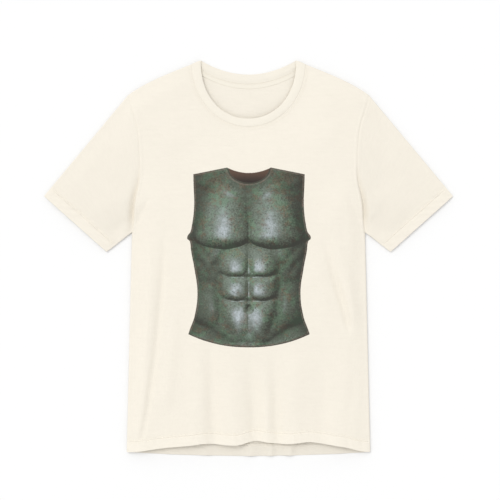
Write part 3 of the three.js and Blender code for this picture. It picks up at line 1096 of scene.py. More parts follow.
@dataclass(frozen=True)
class NeckRib(FlatTube):
    """The neckband, one closed loop of ribbed knit folded double.

    Attributes:
        step: distance between its rows, in metres.
        front_columns: number of even steps round the front.
        back_columns: the same round the back.
        end_angles: fine steps from each shoulder, in degrees.
        even_reach: angle from the middle up to which the steps are even.
        crown: how far its middle bulges.
        crown_power: how full that bulge is, 1 for a sine.
        edge_radius: radius of its free edge.
        seam_share: share of its thickness's rise that is left at the seam.
        seam_reach: distance from the seam over which it rises.
    """

    step: float = 0.0009
    front_columns: int = 240
    back_columns: int = 170
    end_angles: tuple[float, ...] = (0.1, 0.3, 0.6, 1.0, 1.5, 2.1, 2.9)
    even_reach: float = 86.5
    crown: float = 0.0009
    crown_power: float = 0.7
    edge_radius: float = 0.0012
    seam_share: float = 0.36
    seam_reach: float = 0.012

    def crossings(self, layer: Layer) -> Array:
        """Angles round the neck, from one shoulder to the other.

        Args:
            layer: the layer.

        Returns:
            The angles, in radians.
        """
        count = self.front_columns if layer is Layer.UPPER else self.back_columns
        even = np.linspace(-90, 90, count + 1)
        fine = np.array(self.end_angles)
        inner = even[np.abs(even) < self.even_reach]
        return np.radians(np.concatenate([[-90], -90 + fine, inner, (90 - fine)[::-1], [90]]))

    def plan(self, layer: Layer, across: Array, from_edge: Array) -> tuple[Array, Array]:
        """Plan point between the free edge and the seam.

        Args:
            layer: the layer.
            across: crossing shares or angles.
            from_edge: distances from the free edge.

        Returns:
            The plan coordinates.
        """
        seam, free = self.form.neck_seam(layer, across), self.form.neck_edge(layer, across)
        back = from_edge / self.form.sizes.rib_width
        return mix(free[0], seam[0], back), mix(free[1], seam[1], back)

    def grid(self) -> ClothGrid:
        """Lay the rib's rows round the neck, from the free edge to the seam.

        Returns:
            The rib's cloth.
        """
        s = self.form.sizes
        outer, normal, x, _, upper, flat = self.wrap(spaced(RIB_STATIONS, s.rib_width, self.step))
        from_edge = flat[..., 1]
        rounding = edge_round(from_edge, self.edge_radius)
        rise = smooth((s.rib_width - from_edge) / self.seam_reach + self.seam_share)
        thickness = s.ribbing * rise
        across = np.clip(from_edge / s.rib_width, 0, 1)
        crown = self.crown * np.sin(math.pi * across) ** self.crown_power
        outer = outer + normal * (np.where(upper, crown, 0.0) - thickness * (1 - rounding) / 2)[..., None]
        return ClothGrid(outer, normal, thickness * rounding, flat, np.zeros_like(x), wrapped=True)


@dataclass(frozen=True)
class NeckTape:
    """The tape over the back neck seam, on the inside of the back panel.

    Attributes:
        form: the shirt's form.
        inset: distance of its upper edge from the seam, in metres.
        edge_radius: radius of its edges.
        columns: number of points along it.
    """

    form: ShirtForm
    inset: float = 0.001
    edge_radius: float = 0.0005
    columns: int = 121

    def grid(self) -> ClothGrid:
        """Lay the tape along the seam, on top of the back panel.

        Returns:
            The tape's cloth.
        """
        form, s = self.form, self.form.sizes
        reach = math.radians(s.tape_reach)
        below = np.array(TAPE_STATIONS)
        x, y = form.neck_seam(Layer.LOWER, np.linspace(-reach, reach, self.columns)[None, :])
        y = y - self.inset - below[:, None]
        x = np.broadcast_to(x, y.shape)
        rounding = edge_round(np.minimum(below, s.tape_width - below)[:, None], self.edge_radius)
        rounding = np.broadcast_to(rounding, x.shape)
        outer, _ = form.surface(Layer.LOWER, x, y)
        outer[..., 2] += s.jersey + s.tape_gap + s.tape * rounding
        normal = np.zeros_like(outer)
        normal[..., 2] = 1.0
        return ClothGrid(outer, normal, s.tape * rounding, np.stack([x, y], axis=-1), np.zeros_like(x))


@dataclass(frozen=True)
class Wiring:
    """Builds the nodes of one shader tree."""

    tree: bpy.types.NodeTree

    def add(self, kind: str, **settings: object) -> bpy.types.Node:
        """Add a node and set its properties.

        Args:
            kind: the node's type.
            settings: its properties.

        Returns:
            The node.
        """
        node = self.tree.nodes.new(kind)
        for name, value in settings.items():
            setattr(node, name, value)
        return node

    def feed(self, socket: bpy.types.NodeSocket, value: object) -> None:
        """Link a field or a socket to an input, or set the input's own value.

        Args:
            socket: the input.
            value: a field, a socket or a constant.
        """
        if isinstance(value, Field):
            value = value.socket
        if isinstance(value, bpy.types.NodeSocket):
            self.tree.links.new(value, socket)
        else:
            socket.default_value = value

    def split(self, vector: object) -> tuple["Field", "Field"]:
        """Give the first two parts of a vector.

        Args:
            vector: the vector.

        Returns:
            Its first part and its second.
        """
        node = self.add("ShaderNodeSeparateXYZ")
        self.feed(node.inputs[0], vector)
        return Field(self, node.outputs[0]), Field(self, node.outputs[1])

    def math(self, operation: str, *values: "Field | float", clamp: bool = False) -> "Field":
        """Add a Math node.

        Args:
            operation: what it works out.
            values: its inputs.
            clamp: whether the result is kept between 0 and 1.

        Returns:
            The result.
        """
        node = self.add("ShaderNodeMath", operation=operation, use_clamp=clamp)
        for socket, value in zip(node.inputs, values):
            self.feed(socket, value)
        return Field(self, node.outputs[0])

    def noise(self, vector: object, scale: float, detail: float = 3.0, roughness: float = 0.55) -> "Field":
        """Add a Noise Texture.

        Args:
            vector: where it is looked up.
            scale: its scale.
            detail: number of finer octaves.
            roughness: strength of those octaves.

        Returns:
            The noise's value.
        """
        node = self.add("ShaderNodeTexNoise")
        self.feed(node.inputs["Vector"], vector)
        for name, value in (("Scale", scale), ("Detail", detail), ("Roughness", roughness)):
            node.inputs[name].default_value = value
        return Field(self, node.outputs[0])

    def step(self, value: "Field", low: float, high: float) -> "Field":
        """Ease from 0 to 1 as a value runs from low to high, or from 1 to 0 where low is the larger.

        Args:
            value: what is looked at.
            low: where the result is 0.
            high: where the result is 1.

        Returns:
            The eased value.
        """
        node = self.add("ShaderNodeMapRange", interpolation_type="SMOOTHSTEP")
        self.feed(node.inputs["Value"], value)
        node.inputs["From Min"].default_value = min(low, high)
        node.inputs["From Max"].default_value = max(low, high)
        node.inputs["To Min"].default_value = 1.0 if low > high else 0.0
        node.inputs["To Max"].default_value = 0.0 if low > high else 1.0
        return Field(self, node.outputs["Result"])

    def blend(self, factor: object, a: object, b: object) -> bpy.types.NodeSocket:
        """Mix two colours.

        Args:
            factor: share of the second one.
            a: the first colour.
            b: the second colour.

        Returns:
            The socket of the mixed colour.
        """
        node = self.add("ShaderNodeMix", data_type="RGBA", blend_type="MIX")
        for index, value in ((0, factor), (6, a), (7, b)):
            self.feed(node.inputs[index], value)
        return node.outputs[2]

    def group(self, tree: bpy.types.NodeTree, **values: object) -> bpy.types.Node:
        """Place a node group.

        Args:
            tree: the group.
            values: what its inputs are fed, by name.

        Returns:
            The group's node.
        """
        node = self.add("ShaderNodeGroup", node_tree=tree)
        for name, value in values.items():
            self.feed(node.inputs[name], value)
        return node


@dataclass(frozen=True, eq=False)
class Field:
    """A value that varies over a surface, which arithmetic extends with Math nodes."""

    wiring: Wiring
    socket: bpy.types.NodeSocket

    def __add__(self, other: "Field | float") -> "Field":
        """The sum of two values."""
        return self.wiring.math("ADD", self, other)

    def __sub__(self, other: "Field | float") -> "Field":
        """The difference of two values."""
        return self.wiring.math("SUBTRACT", self, other)

    def __rsub__(self, other: float) -> "Field":
        """A number less this value."""
        return self.wiring.math("SUBTRACT", other, self)

    def __mul__(self, other: "Field | float") -> "Field":
        """The product of two values."""
        return self.wiring.math("MULTIPLY", self, other)

    def __truediv__(self, other: "Field | float") -> "Field":
        """This value divided by another."""
        return self.wiring.math("DIVIDE", self, other)

    def __pow__(self, other: "Field | float") -> "Field":
        """A power of this value."""
        return self.wiring.math("POWER", self, other)

    def __abs__(self) -> "Field":
        """This value without its sign."""
        return self.wiring.math("ABSOLUTE", self)

    def at_least(self, other: "Field | float") -> "Field":
        """The larger of two values."""
        return self.wiring.math("MAXIMUM", self, other)

    def at_most(self, other: "Field | float") -> "Field":
        """The smaller of two values."""
        return self.wiring.math("MINIMUM", self, other)

    def swell_into(self, other: "Field", blend: float) -> "Field":
        """The larger of two values, rounded where they meet."""
        return self.wiring.math("SMOOTH_MAX", self, other, blend)


def new_group(
    name: str, inputs: dict[str, str], outputs: dict[str, str]
) -> tuple[Wiring, bpy.types.Node, bpy.types.Node]:
    """Make an empty shader node group.

    Args:
        name: the group's name.
        inputs: socket names and their types.
        outputs: the same, of the outputs.

    Returns:
        The group's wiring, its input node and its output node.
    """
    tree = bpy.data.node_groups.new(name, "ShaderNodeTree")
    for sockets, way in ((inputs, "INPUT"), (outputs, "OUTPUT")):
        for socket, kind in sockets.items():
            tree.interface.new_socket(socket, in_out=way, socket_type=f"NodeSocket{kind}")
    wiring = Wiring(tree)
    return wiring, wiring.add("NodeGroupInput"), wiring.add("NodeGroupOutput")


@dataclass
class KnitEffect:
    """Shader group of plain knitted cloth: the relief of its loops, and its tone: faint unevenness, with
    painted shade in the grooves between the columns of loops.

    Attributes:
        wobble: scale and strength of the noise that bends the rows of loops.
        fuzz: scale of the fibres' noise.
        slub: scales of the noise of thick and thin yarn.
        mottle: scales of the broad and the fine noise of its tone.
    """

    wobble: Point = (60.0, 0.9)
    fuzz: float = 1400.0
    slub: tuple[float, float, float] = (32.0, 190.0, 1.0)
    mottle: Point = (14.0, 90.0)

    def __post_init__(self) -> None:
        """Build the group."""
        sockets = {"Flat": "Vector", "Wale": "Float", "Course": "Float"}
        w, source, sink = new_group("knit", sockets, {"Height": "Float", "Tone": "Float"})
        flat = source.outputs["Flat"]
        x, y = w.split(flat)
        wobble = w.noise(flat, self.wobble[0], 2.0) * self.wobble[1]
        across = x * math.tau / Field(w, source.outputs["Wale"]) + wobble
        along = y * math.tau / Field(w, source.outputs["Course"]) + wobble
        wale = abs(w.math("SINE", across * 0.5))
        loops = w.math("SINE", along + w.math("COSINE", across) * 1.4)
        fuzz = w.noise(flat, self.fuzz, 3.0, 0.7)
        stretch = w.add("ShaderNodeVectorMath", operation="MULTIPLY")
        w.feed(stretch.inputs[0], flat)
        w.feed(stretch.inputs[1], self.slub)
        slub = w.noise(stretch.outputs[0], 1.0, 4.0, 0.65)
        w.feed(sink.inputs["Height"], wale * 0.55 + loops * 0.18 + fuzz * 0.6 + slub * 2.4)
        broad, fine = self.mottle
        mottle = w.noise(flat, broad, 3.0, 0.6) * 0.4 + w.noise(flat, fine, 3.0) * 0.3
        # Tone: mottling and slubs, with painted shade from the wale term, darker in the grooves between the
        # columns of loops.
        w.feed(sink.inputs["Tone"], mottle + slub * 0.6 + wale * 0.3 - 0.35)
        self.tree = w.tree


@dataclass(frozen=True)
class Dome:
    """A rounded form of the printed armour, in centimetres from the picture's middle, on both sides.

    Attributes:
        name: what the form is.
        x: distance of its top from the middle line.
        y: height of its top.
        across: half its width.
        above: how far it reaches upwards.
        below: how far it reaches downwards.
        rise: its height.
        square: how square its plan is, 2 for an ellipse.
        softness: how gently its upper and its lower edge rise, 0.5 for a round one.
    """

    name: str
    x: float
    y: float
    across: float
    above: float
    below: float
    rise: float
    square: float = 2.0
    softness: Point = (1.1, 0.7)


@dataclass(frozen=True)
class Furrow:
    """A hollow line of the printed armour, or a ridge where its depth is negative, in centimetres."""

    name: str
    path: tuple[Point, ...]
    width: float
    depth: float


DOMES = (
    Dome("breast", 4.9, 4.4, 5.2, 9.0, 3.0, 1.90, 2.3, (1.25, 0.62)),
    Dome("belly", 0.0, -5.0, 5.8, 7.6, 10.8, 1.05, 3.6, (0.9, 0.9)),
    Dome("ribs", 7.0, 0.0, 3.8, 5.0, 5.2, 0.66, 2.2, (1.2, 1.1)),
    Dome("side", 7.4, -8.6, 3.4, 5.0, 4.4, 0.85, 2.1, (1.5, 1.2)),
    Dome("hip", 9.4, -15.0, 3.8, 3.4, 3.4, 0.90, 2.0, (1.3, 1.0)),
)

CELLS = (
    Dome("upper belly", 2.75, -1.1, 2.75, 3.2, 2.5, 0.46, 2.2, (1.2, 0.9)),
    Dome("middle belly", 2.55, -5.6, 2.55, 2.2, 2.2, 0.42, 2.3, (1.0, 0.9)),
    Dome("lower belly", 1.90, -10.2, 2.60, 2.3, 4.6, 0.40, 2.1, (1.0, 1.4)),
)

FURROWS = (
    Furrow("breastbone", ((0.0, 10.2), (0.0, 2.4)), 0.62, 0.16),
    Furrow("middle line", ((0.0, 2.4), (0.0, -8.6)), 0.50, 0.30),
    Furrow("upper belly line", ((0.0, -3.6), (3.0, -3.6), (5.0, -3.0)), 0.48, 0.30),
    Furrow("middle belly line", ((0.0, -7.8), (2.6, -7.9), (4.6, -7.4)), 0.48, 0.30),
    Furrow("rib arch", ((0.6, 2.0), (3.6, 1.2), (6.2, -1.4), (7.2, -4.2)), 0.75, 0.22),
    Furrow("belly border", ((5.6, -1.6), (5.5, -6.6), (4.9, -10.6), (3.6, -13.6)), 0.80, 0.34),
    Furrow("groin line", ((10.4, -11.6), (7.4, -12.9), (4.2, -14.9), (2.6, -16.4)), 0.80, 0.46),
    Furrow("first rib", ((10.4, 3.0), (8.4, 1.5), (7.4, 0.2)), 0.55, 0.20),
    Furrow("second rib", ((10.2, 0.2), (8.4, -1.2), (7.6, -2.6)), 0.55, 0.18),
    Furrow("arm line", ((6.6, 12.8), (8.6, 9.4), (9.5, 5.4)), 0.95, 0.22),
    Furrow("collar bone", ((1.6, 11.0), (4.6, 12.5), (8.8, 13.6)), 0.75, -0.22),
    Furrow("throat", ((0.0, 11.8), (0.0, 12.4)), 0.90, 0.34),
    Furrow("navel", ((0.0, -9.0), (0.0, -9.3)), 0.46, 0.80),
)

# Height in the picture, and half its width there
PICTURE_SIDES = (
    *((-16.2, 11.0), (-14.6, 11.05), (-13.4, 10.75), (-10.5, 9.75), (-6.5, 9.25), (-2.0, 9.80)),
    *((1.2, 10.40), (2.7, 10.58), (3.0, 10.75), (3.3, 11.08), (3.7, 11.05), (4.5, 10.52)),
    *((5.6, 10.25), (9.0, 9.85), (13.0, 9.95), (16.2, 10.05)),
)


@dataclass(frozen=True)
class Patina:
    """Linear colours of the printed armour: each pair is of shaded and of lit metal."""

    dark: Colour = (0.016, 0.019, 0.014, 1)
    middle: Colour = (0.074, 0.094, 0.070, 1)
    lit: Colour = (0.185, 0.230, 0.195, 1)
    green: tuple[Colour, Colour] = ((0.016, 0.042, 0.022, 1), (0.120, 0.225, 0.135, 1))
    brown: tuple[Colour, Colour] = ((0.026, 0.016, 0.009, 1), (0.165, 0.110, 0.070, 1))
    lining: tuple[Colour, Colour] = ((0.014, 0.008, 0.006, 1), (0.085, 0.045, 0.030, 1))
    glint: Colour = (0.430, 0.480, 0.510, 1)
    pit: Colour = (0.012, 0.014, 0.010, 1)
    grain: Colour = (0.260, 0.350, 0.260, 1)
    rim: Colour = (0.19, 0.145, 0.115, 1)
    rim_line: Colour = (0.035, 0.024, 0.018, 1)


@dataclass
class PrintedPicture:
    """Shader group of the chest print: a muscle cuirass with a mottled green-grey patina.

    Attributes:
        half_height: half the picture's height, in centimetres as the sizes below.
        bottom_half: half the width of its bottom edge.
        bottom_rise: how far that edge's ends lie above its middle.
        neck_half: half the width of its neck opening.
        neck_top: height of that opening's ends.
        neck_depth: depth of the lining that shows in it.
        neck_bow: how far the back's edge rises between them.
        shoulder_lift: how far the shoulders start above them.
        shoulder_slope: how far the shoulders fall for each centimetre outwards.
        joint: how far the domes round into each other.
        barrel: power and depth of the body's curve round to its sides.
        rim: distance of the bottom rim from the edge, its sharpness and its rise.
        curve_unit: half width that stands for 1 in the curve of the picture's sides.
        slope_step: distance over which the relief's slopes are taken.
        centre: the picture's middle on the shirt, in metres.
        patina: its colours.
    """

    half_height: float = 16.2
    bottom_half: float = 11.0
    bottom_rise: float = 2.4
    neck_half: float = 3.8
    neck_top: float = 16.0
    neck_depth: float = 3.0
    neck_bow: float = 0.9
    shoulder_lift: float = 0.1
    shoulder_slope: float = 0.2
    joint: float = 0.22
    barrel: Point = (3.2, -2.5)
    rim: tuple[float, float, float] = (0.42, -9.0, 0.22)
    curve_unit: float = 12.0
    slope_step: float = 0.12
    centre: Point = (0.0009, 0.0022)
    patina: Patina = Patina()

    def __post_init__(self) -> None:
        """Build the group."""
        self.relief = self._relief_group()
        w, source, sink = new_group("cuirass_print", {"Flat": "Vector"}, {"Color": "Color", "Mask": "Float"})
        flat = source.outputs["Flat"]
        x, y = ((part - middle) * 100.0 for part, middle in zip(w.split(flat), self.centre))
        inside = self._inside(w, x, y) + (w.noise(flat, 500.0, 2.0) - 0.5) * 0.10
        hole = self._neck_hole(w, x, y)
        colour = self._rims(w, flat, self._metal(w, flat, x, y), inside.at_most(abs(hole)))
        w.feed(sink.inputs["Color"], self._neck_lining(w, colour, hole, y))
        w.feed(sink.inputs["Mask"], w.step(inside, -0.03, 0.05))
        self.tree = w.tree

    def _above_bottom(self, side: Field, y: Field) -> Field:
        """Height above the bottom edge, at a distance from the middle line."""
        return y + self.half_height - ((side / self.bottom_half) ** 2.2) * self.bottom_rise

    def _relief_group(self) -> bpy.types.NodeTree:
        """Build the group of the armour's height, in centimetres.

        Returns:
            The group's tree.
        """
        w, source, sink = new_group("cuirass_relief", {"X": "Float", "Y": "Float"}, {"Height": "Float"})
        side, y = abs(Field(w, source.outputs["X"])), Field(w, source.outputs["Y"])
        height = self._dome(w, side, y, DOMES[0])
        for dome in DOMES[1:]:
            height = height.swell_into(self._dome(w, side, y, dome), self.joint)
        for cell in CELLS:
            height = height + self._dome(w, side, y, cell)
        for furrow in FURROWS:
            height = height - self._furrow(w, side, y, furrow)
        barrel_power, barrel_depth = self.barrel
        barrel = ((side / self.bottom_half) ** barrel_power) * barrel_depth
        inset, sharpness, rise = self.rim
        from_rim = self._above_bottom(side, y) - inset
        rim = w.math("EXPONENT", from_rim * from_rim * sharpness) * rise
        w.feed(sink.inputs["Height"], height + barrel + rim)
        return w.tree

    def _dome(self, w: Wiring, side: Field, y: Field, dome: Dome) -> Field:
        """Work out the height of a rounded form.

        Args:
            w: the group's wiring.
            side: distance from the middle line.
            y: height in the picture.
            dome: the form.

        Returns:
            Its height there.
        """
        across = abs((side - dome.x) / dome.across) ** dome.square
        up = (y - dome.y).at_least(0.0) / dome.above
        down = (dome.y - y).at_least(0.0) / dome.below
        along = (up + down) ** dome.square
        above, below = dome.softness
        upper = w.step(y, dome.y - 0.6 * dome.below, dome.y + 0.4 * dome.above)
        return (1.0 - across - along).at_least(0.0) ** (upper * (above - below) + below) * dome.rise

    def _furrow(self, w: Wiring, side: Field, y: Field, furrow: Furrow) -> Field:
        """Work out the depth of a hollow line.

        Args:
            w: the group's wiring.
            side: distance from the middle line.
            y: height in the picture.
            furrow: the line.

        Returns:
            Its depth there.
        """
        squares = []
        for (ax, ay), (bx, by) in zip(furrow.path[:-1], furrow.path[1:]):
            dx, dy = bx - ax, by - ay
            length = dx * dx + dy * dy
            share = w.math("MULTIPLY_ADD", side - ax, dx / length, (y - ay) * (dy / length), clamp=True)
            off_x, off_y = side - ax - share * dx, y - ay - share * dy
            squares.append(off_x * off_x + off_y * off_y)
        closest = squares[0]
        for square in squares[1:]:
            closest = closest.at_most(square)
        return w.math("EXPONENT", closest * (-1 / furrow.width**2)) * furrow.depth

    def _inside(self, w: Wiring, x: Field, y: Field) -> Field:
        """Work out the distance inwards from the picture's outline.

        Args:
            w: the group's wiring.
            x: distance from the middle line, with its sign.
            y: height in the picture.

        Returns:
            The distance, negative outside.
        """
        curve = w.add("ShaderNodeFloatCurve")
        points = curve.mapping.curves[0].points
        height = 2 * self.half_height
        places = [((at + self.half_height) / height, half / self.curve_unit) for at, half in PICTURE_SIDES]
        points[0].location, points[-1].location = places[0], places[-1]
        for place in places[1:-1]:
            points.new(*place)
        curve.mapping.update()
        w.feed(curve.inputs["Value"], (y + self.half_height) / height)
        side = abs(x)
        from_side = Field(w, curve.outputs[0]) * self.curve_unit - side
        neck = (side / self.neck_half) ** 2.0 * self.neck_bow + (self.neck_top - self.neck_bow)
        slope = (side - self.neck_half) * self.shoulder_slope
        shoulder = self.neck_top + self.shoulder_lift - slope
        return from_side.at_most(neck.at_most(shoulder) - y).at_most(self._above_bottom(side, y))

    def _neck_hole(self, w: Wiring, x: Field, y: Field) -> Field:
        """Distance into the neck opening, over the front's rim."""
        deep = ((self.neck_top + 0.2 - y) / self.neck_depth) ** 2.0
        return (1.0 - w.math("SQRT", (x / self.neck_half) ** 2.0 + deep)) * self.neck_depth

    def _height_at(self, w: Wiring, x: Field, y: Field) -> Field:
        """The armour's height at a point."""
        return Field(w, w.group(self.relief, X=x, Y=y).outputs[0])

    def _metal(self, w: Wiring, flat: object, x: Field, y: Field) -> bpy.types.NodeSocket:
        """Colour the lit bronze: shade and shine of the forms, patina, bare spots and pits.

        Args:
            w: the group's wiring.
            flat: flat-pattern coordinates.
            x: distance from the middle line, with its sign.
            y: height in the picture.

        Returns:
            The metal's colour.
        """
        ink, step = self.patina, self.slope_step
        here = self._height_at(w, x, y)
        slope_x = (self._height_at(w, x + step, y) - here) / step
        slope_y = (self._height_at(w, x, y + step) - here) / step
        dents = w.noise(flat, 95.0, 5.0, 0.72) - 0.5
        grit = w.noise(flat, 310.0, 3.0, 0.7) - 0.5
        steep = w.math("SQRT", slope_x * slope_x + slope_y * slope_y + 1.0)
        shade = (slope_x * 0.30 - slope_y * 0.62 + 0.72) / steep + dents * 0.75 + grit * 1.25
        facing = (slope_x * 0.06 + slope_y * 0.02 + 0.998) / steep
        shine = (facing + dents * 0.05 + grit * 0.02).at_least(0.0) ** 60.0
        sunk = w.step(here, -1.8, 1.7)
        light = shade * (sunk * 0.70 + 0.30)
        colour = w.blend(w.step(light, 0.02, 0.55), ink.dark, ink.middle)
        colour = w.blend(w.step(light, 0.45, 1.05), colour, ink.lit)
        patches = w.step(w.noise(flat, 24.0, 8.0, 0.74), 0.48, 0.56)
        colour = w.blend(patches * 0.55, colour, w.blend(w.step(light, 0.05, 0.9), *ink.green))
        high = w.step(y, 7.0, 14.5) * w.step(abs(x), 1.0, 6.0)
        streaks = w.step(w.noise(flat, 52.0, 8.0, 0.82) + high * 0.055 + grit * 0.12, 0.52, 0.58)
        colour = w.blend(streaks * 0.62, colour, w.blend(w.step(light, 0.05, 0.9), *ink.brown))
        glint = shine * w.step(w.noise(flat, 34.0, 7.0, 0.72), 0.26, 0.54) * w.step(sunk, 0.55, 0.92)
        colour = w.blend(glint * 0.92, colour, ink.glint)
        speckles = w.add("ShaderNodeTexVoronoi")
        w.feed(speckles.inputs["Vector"], flat)
        w.feed(speckles.inputs["Scale"], 290.0)
        worn = w.step(w.noise(flat, 44.0, 5.0, 0.70), 0.48, 0.58)
        clear = w.step(Field(w, speckles.outputs["Distance"]), 0.08, 0.40)
        colour = w.blend((1.0 - clear) * worn * 0.85, colour, ink.pit)
        grains = w.step(w.noise(flat, 330.0, 4.0, 0.75), 0.56, 0.66)
        return w.blend(grains * 0.42 * light, colour, ink.grain)

    def _rims(self, w: Wiring, flat: object, colour: object, edge: Field) -> bpy.types.NodeSocket:
        """Draw the rolled rims: a dark line outside a worn, lighter one.

        Args:
            w: the group's wiring.
            flat: flat-pattern coordinates.
            colour: the metal's colour.
            edge: distance from the nearest rim.

        Returns:
            The colour with the rims.
        """
        worn = w.step(w.noise(flat, 160.0, 3.0), 0.25, 0.7)
        colour = w.blend(w.step(abs(edge - 0.24), 0.16, 0.04) * worn * 0.7, colour, self.patina.rim)
        return w.blend(w.step(edge, 0.16, 0.02) * 0.8, colour, self.patina.rim_line)

    def _neck_lining(self, w: Wiring, colour: object, hole: Field, y: Field) -> bpy.types.NodeSocket:
        """Show the brown inside of the back through the neck opening."""
        lining = w.blend(w.step(y, 13.4, 15.4), *self.patina.lining)
        return w.blend(w.step(hole, 0.05, 0.16), colour, lining)


@dataclass(frozen=True)
class ClothFinish:
    """A cloth's look.

    Attributes:
        name: the material's name.
        base: base colour, linear.
        wale: width of one column of loops, in metres.
        course: height of one row of loops, in metres.
        depth: strength of the loops' relief.
        unevenness: how much the tone varies over the cloth, the painted shade between the columns of loops
            included.
        hem_gain: how much lighter a turned-up hem's double cloth is, and how much darker the painted shade is
            where the band falls below 0.
        relief: height of the loops, in metres.
        ink_cover: how much of the cloth a print hides.
    """

    name: str
    base: Colour
    wale: float
    course: float
    depth: float
    unevenness: float
    hem_gain: float = 0.022
    relief: float = 0.0004
    ink_cover: float = 0.97

    def material(self, knit: KnitEffect, picture: PrintedPicture | None = None) -> bpy.types.Material:
        """Build the material.

        Args:
            knit: the knitted cloth's effect.
            picture: the print, where it has one.

        Returns:
            The material.
        """
        made = bpy.data.materials.new(self.name)
        made.use_nodes = True
        w = Wiring(made.node_tree)
        shader = made.node_tree.nodes["Principled BSDF"]
        flat = w.add("ShaderNodeUVMap", uv_map="flat").outputs[0]
        cloth = w.group(knit.tree, Flat=flat, Wale=self.wale, Course=self.course)
        band_and_shade = Field(w, w.add("ShaderNodeAttribute", attribute_name="band").outputs["Fac"])
        uneven = Field(w, cloth.outputs["Tone"]) * self.unevenness
        tint = w.add("ShaderNodeVectorMath", operation="SCALE")
        w.feed(tint.inputs[0], self.base[:3])
        # The band attribute lightens turned-up hems; below 0 it darkens the back's inner face near the hem
        # with painted shade.
        w.feed(tint.inputs["Scale"], uneven + band_and_shade * self.hem_gain + (1.0 - self.unevenness / 2))
        colour = tint.outputs[0]
        if picture is not None:
            ink = w.group(picture.tree, Flat=flat)
            colour = w.blend(Field(w, ink.outputs["Mask"]) * self.ink_cover, colour, ink.outputs["Color"])
        w.feed(shader.inputs["Base Color"], colour)
        shader.inputs["Roughness"].default_value = 0.93
        shader.inputs["Specular IOR Level"].default_value = 0.25
        shader.inputs["Sheen Weight"].default_value = 0.08
        shader.inputs["Sheen Roughness"].default_value = 0.5
        bump = w.add("ShaderNodeBump")
        w.feed(bump.inputs["Strength"], self.depth)
        w.feed(bump.inputs["Distance"], self.relief)
        w.feed(bump.inputs["Height"], cloth.outputs["Height"])
        w.feed(shader.inputs["Normal"], bump.outputs[0])
        return made


@dataclass(frozen=True)
class Stitch:
    """Sizes of a stitch in metres: distance to the next one, its length and the thread's thickness."""

    pitch: float
    length: float
    width: float = 0.00046


HEM_STITCH = Stitch(0.0034, 0.0027)
NECK_STITCH = Stitch(0.0030, 0.0024)


@dataclass(frozen=True)
class StitchRow:
    """One row of stitches: points on the cloth and the directions that stand out of it."""

    points: Array
    normals: Array


@dataclass
class StitchTree:
    """Geometry Nodes tree that lays stitches along rows of edges.

    Attributes:
        material: the thread's finish.
        segments: number of sides of a stitch.
        rings: number of rings along it.
    """

    material: bpy.types.Material
    segments: int = 8
    rings: int = 5

    def __post_init__(self) -> None:
        """Make the tree's sockets, nodes and links."""
        self.tree = bpy.data.node_groups.new("stitches", "GeometryNodeTree")
        face, new = self.tree.interface, self.tree.nodes.new
        face.new_socket("Geometry", in_out="INPUT", socket_type="NodeSocketGeometry")
        self.inputs = {
            name: face.new_socket(name, in_out="INPUT", socket_type="NodeSocketFloat").identifier
            for name in ("pitch", "length", "width")
        }
        face.new_socket("Geometry", in_out="OUTPUT", socket_type="NodeSocketGeometry")
        source, sink = new("NodeGroupInput"), new("NodeGroupOutput")
        curve, resample = new("GeometryNodeMeshToCurve"), new("GeometryNodeResampleCurve")
        resample.mode = "LENGTH"
        bead, size = new("GeometryNodeMeshUVSphere"), new("ShaderNodeCombineXYZ")
        for name, value in (("Segments", self.segments), ("Rings", self.rings), ("Radius", 0.5)):
            bead.inputs[name].default_value = value
        shape, tangent = new("GeometryNodeTransform"), new("GeometryNodeInputTangent")
        out = new("GeometryNodeInputNamedAttribute")
        out.data_type = "FLOAT_VECTOR"
        out.inputs["Name"].default_value = "out"
        along, stand = new("FunctionNodeAlignRotationToVector"), new("FunctionNodeAlignRotationToVector")
        along.axis, stand.axis, stand.pivot_axis = "X", "Z", "X"
        place, real = new("GeometryNodeInstanceOnPoints"), new("GeometryNodeRealizeInstances")
        smooth_faces, finish = new("GeometryNodeSetShadeSmooth"), new("GeometryNodeSetMaterial")
        finish.inputs["Material"].default_value = self.material
        links = (
            (source, "Geometry", curve, "Mesh"),
            (curve, "Curve", resample, "Curve"),
            (source, "pitch", resample, "Length"),
            (source, "length", size, "X"),
            (source, "width", size, "Y"),
            (source, "width", size, "Z"),
            (bead, "Mesh", shape, "Geometry"),
            (size, 0, shape, "Scale"),
            (tangent, 0, along, "Vector"),
            (along, 0, stand, "Rotation"),
            (out, "Attribute", stand, "Vector"),
            (resample, "Curve", place, "Points"),
            (shape, "Geometry", place, "Instance"),
            (stand, 0, place, "Rotation"),
            (place, "Instances", real, "Geometry"),
            (real, "Geometry", smooth_faces, "Geometry"),
            (smooth_faces, "Geometry", finish, "Geometry"),
            (finish, "Geometry", sink, "Geometry"),
        )
        for start, output, end, socket in links:
            self.tree.links.new(start.outputs[output], end.inputs[socket])

    def sew(self, name: str, rows: Sequence[StitchRow], stitch: Stitch) -> bpy.types.Object:
        """Lay stitches along rows.

        Args:
            name: the new object's name.
            rows: where the stitches run.
            stitch: the stitches' sizes.

        Returns:
            One object with every stitch.
        """
        points, edges, out = [], [], []
        for row in rows:
            first = len(points)
            points += row.points.tolist()
            out += row.normals.tolist()
            edges += [(i, i + 1) for i in range(first, len(points) - 1)]
        guide = bpy.data.meshes.new(f"{name}_guide")
        guide.from_pydata(points, edges, [])
        stored = guide.attributes.new("out", "FLOAT_VECTOR", "POINT")
        stored.data.foreach_set("vector", np.array(out, dtype=np.float32).ravel())
        obj = bpy.data.objects.new(name, guide)
        bpy.context.collection.objects.link(obj)
        modifier = obj.modifiers.new("stitches", "NODES")
        modifier.node_group = self.tree
        for socket, value in asdict(stitch).items():
            modifier[self.inputs[socket]] = value
        depsgraph = bpy.context.evaluated_depsgraph_get()
        made = bpy.data.meshes.new_from_object(obj.evaluated_get(depsgraph), depsgraph=depsgraph)
        obj.modifiers.remove(modifier)
        obj.data = made
        made.name = name
        bpy.data.meshes.remove(guide)
        log.info("%s: %d faces", name, len(made.polygons))
        return obj


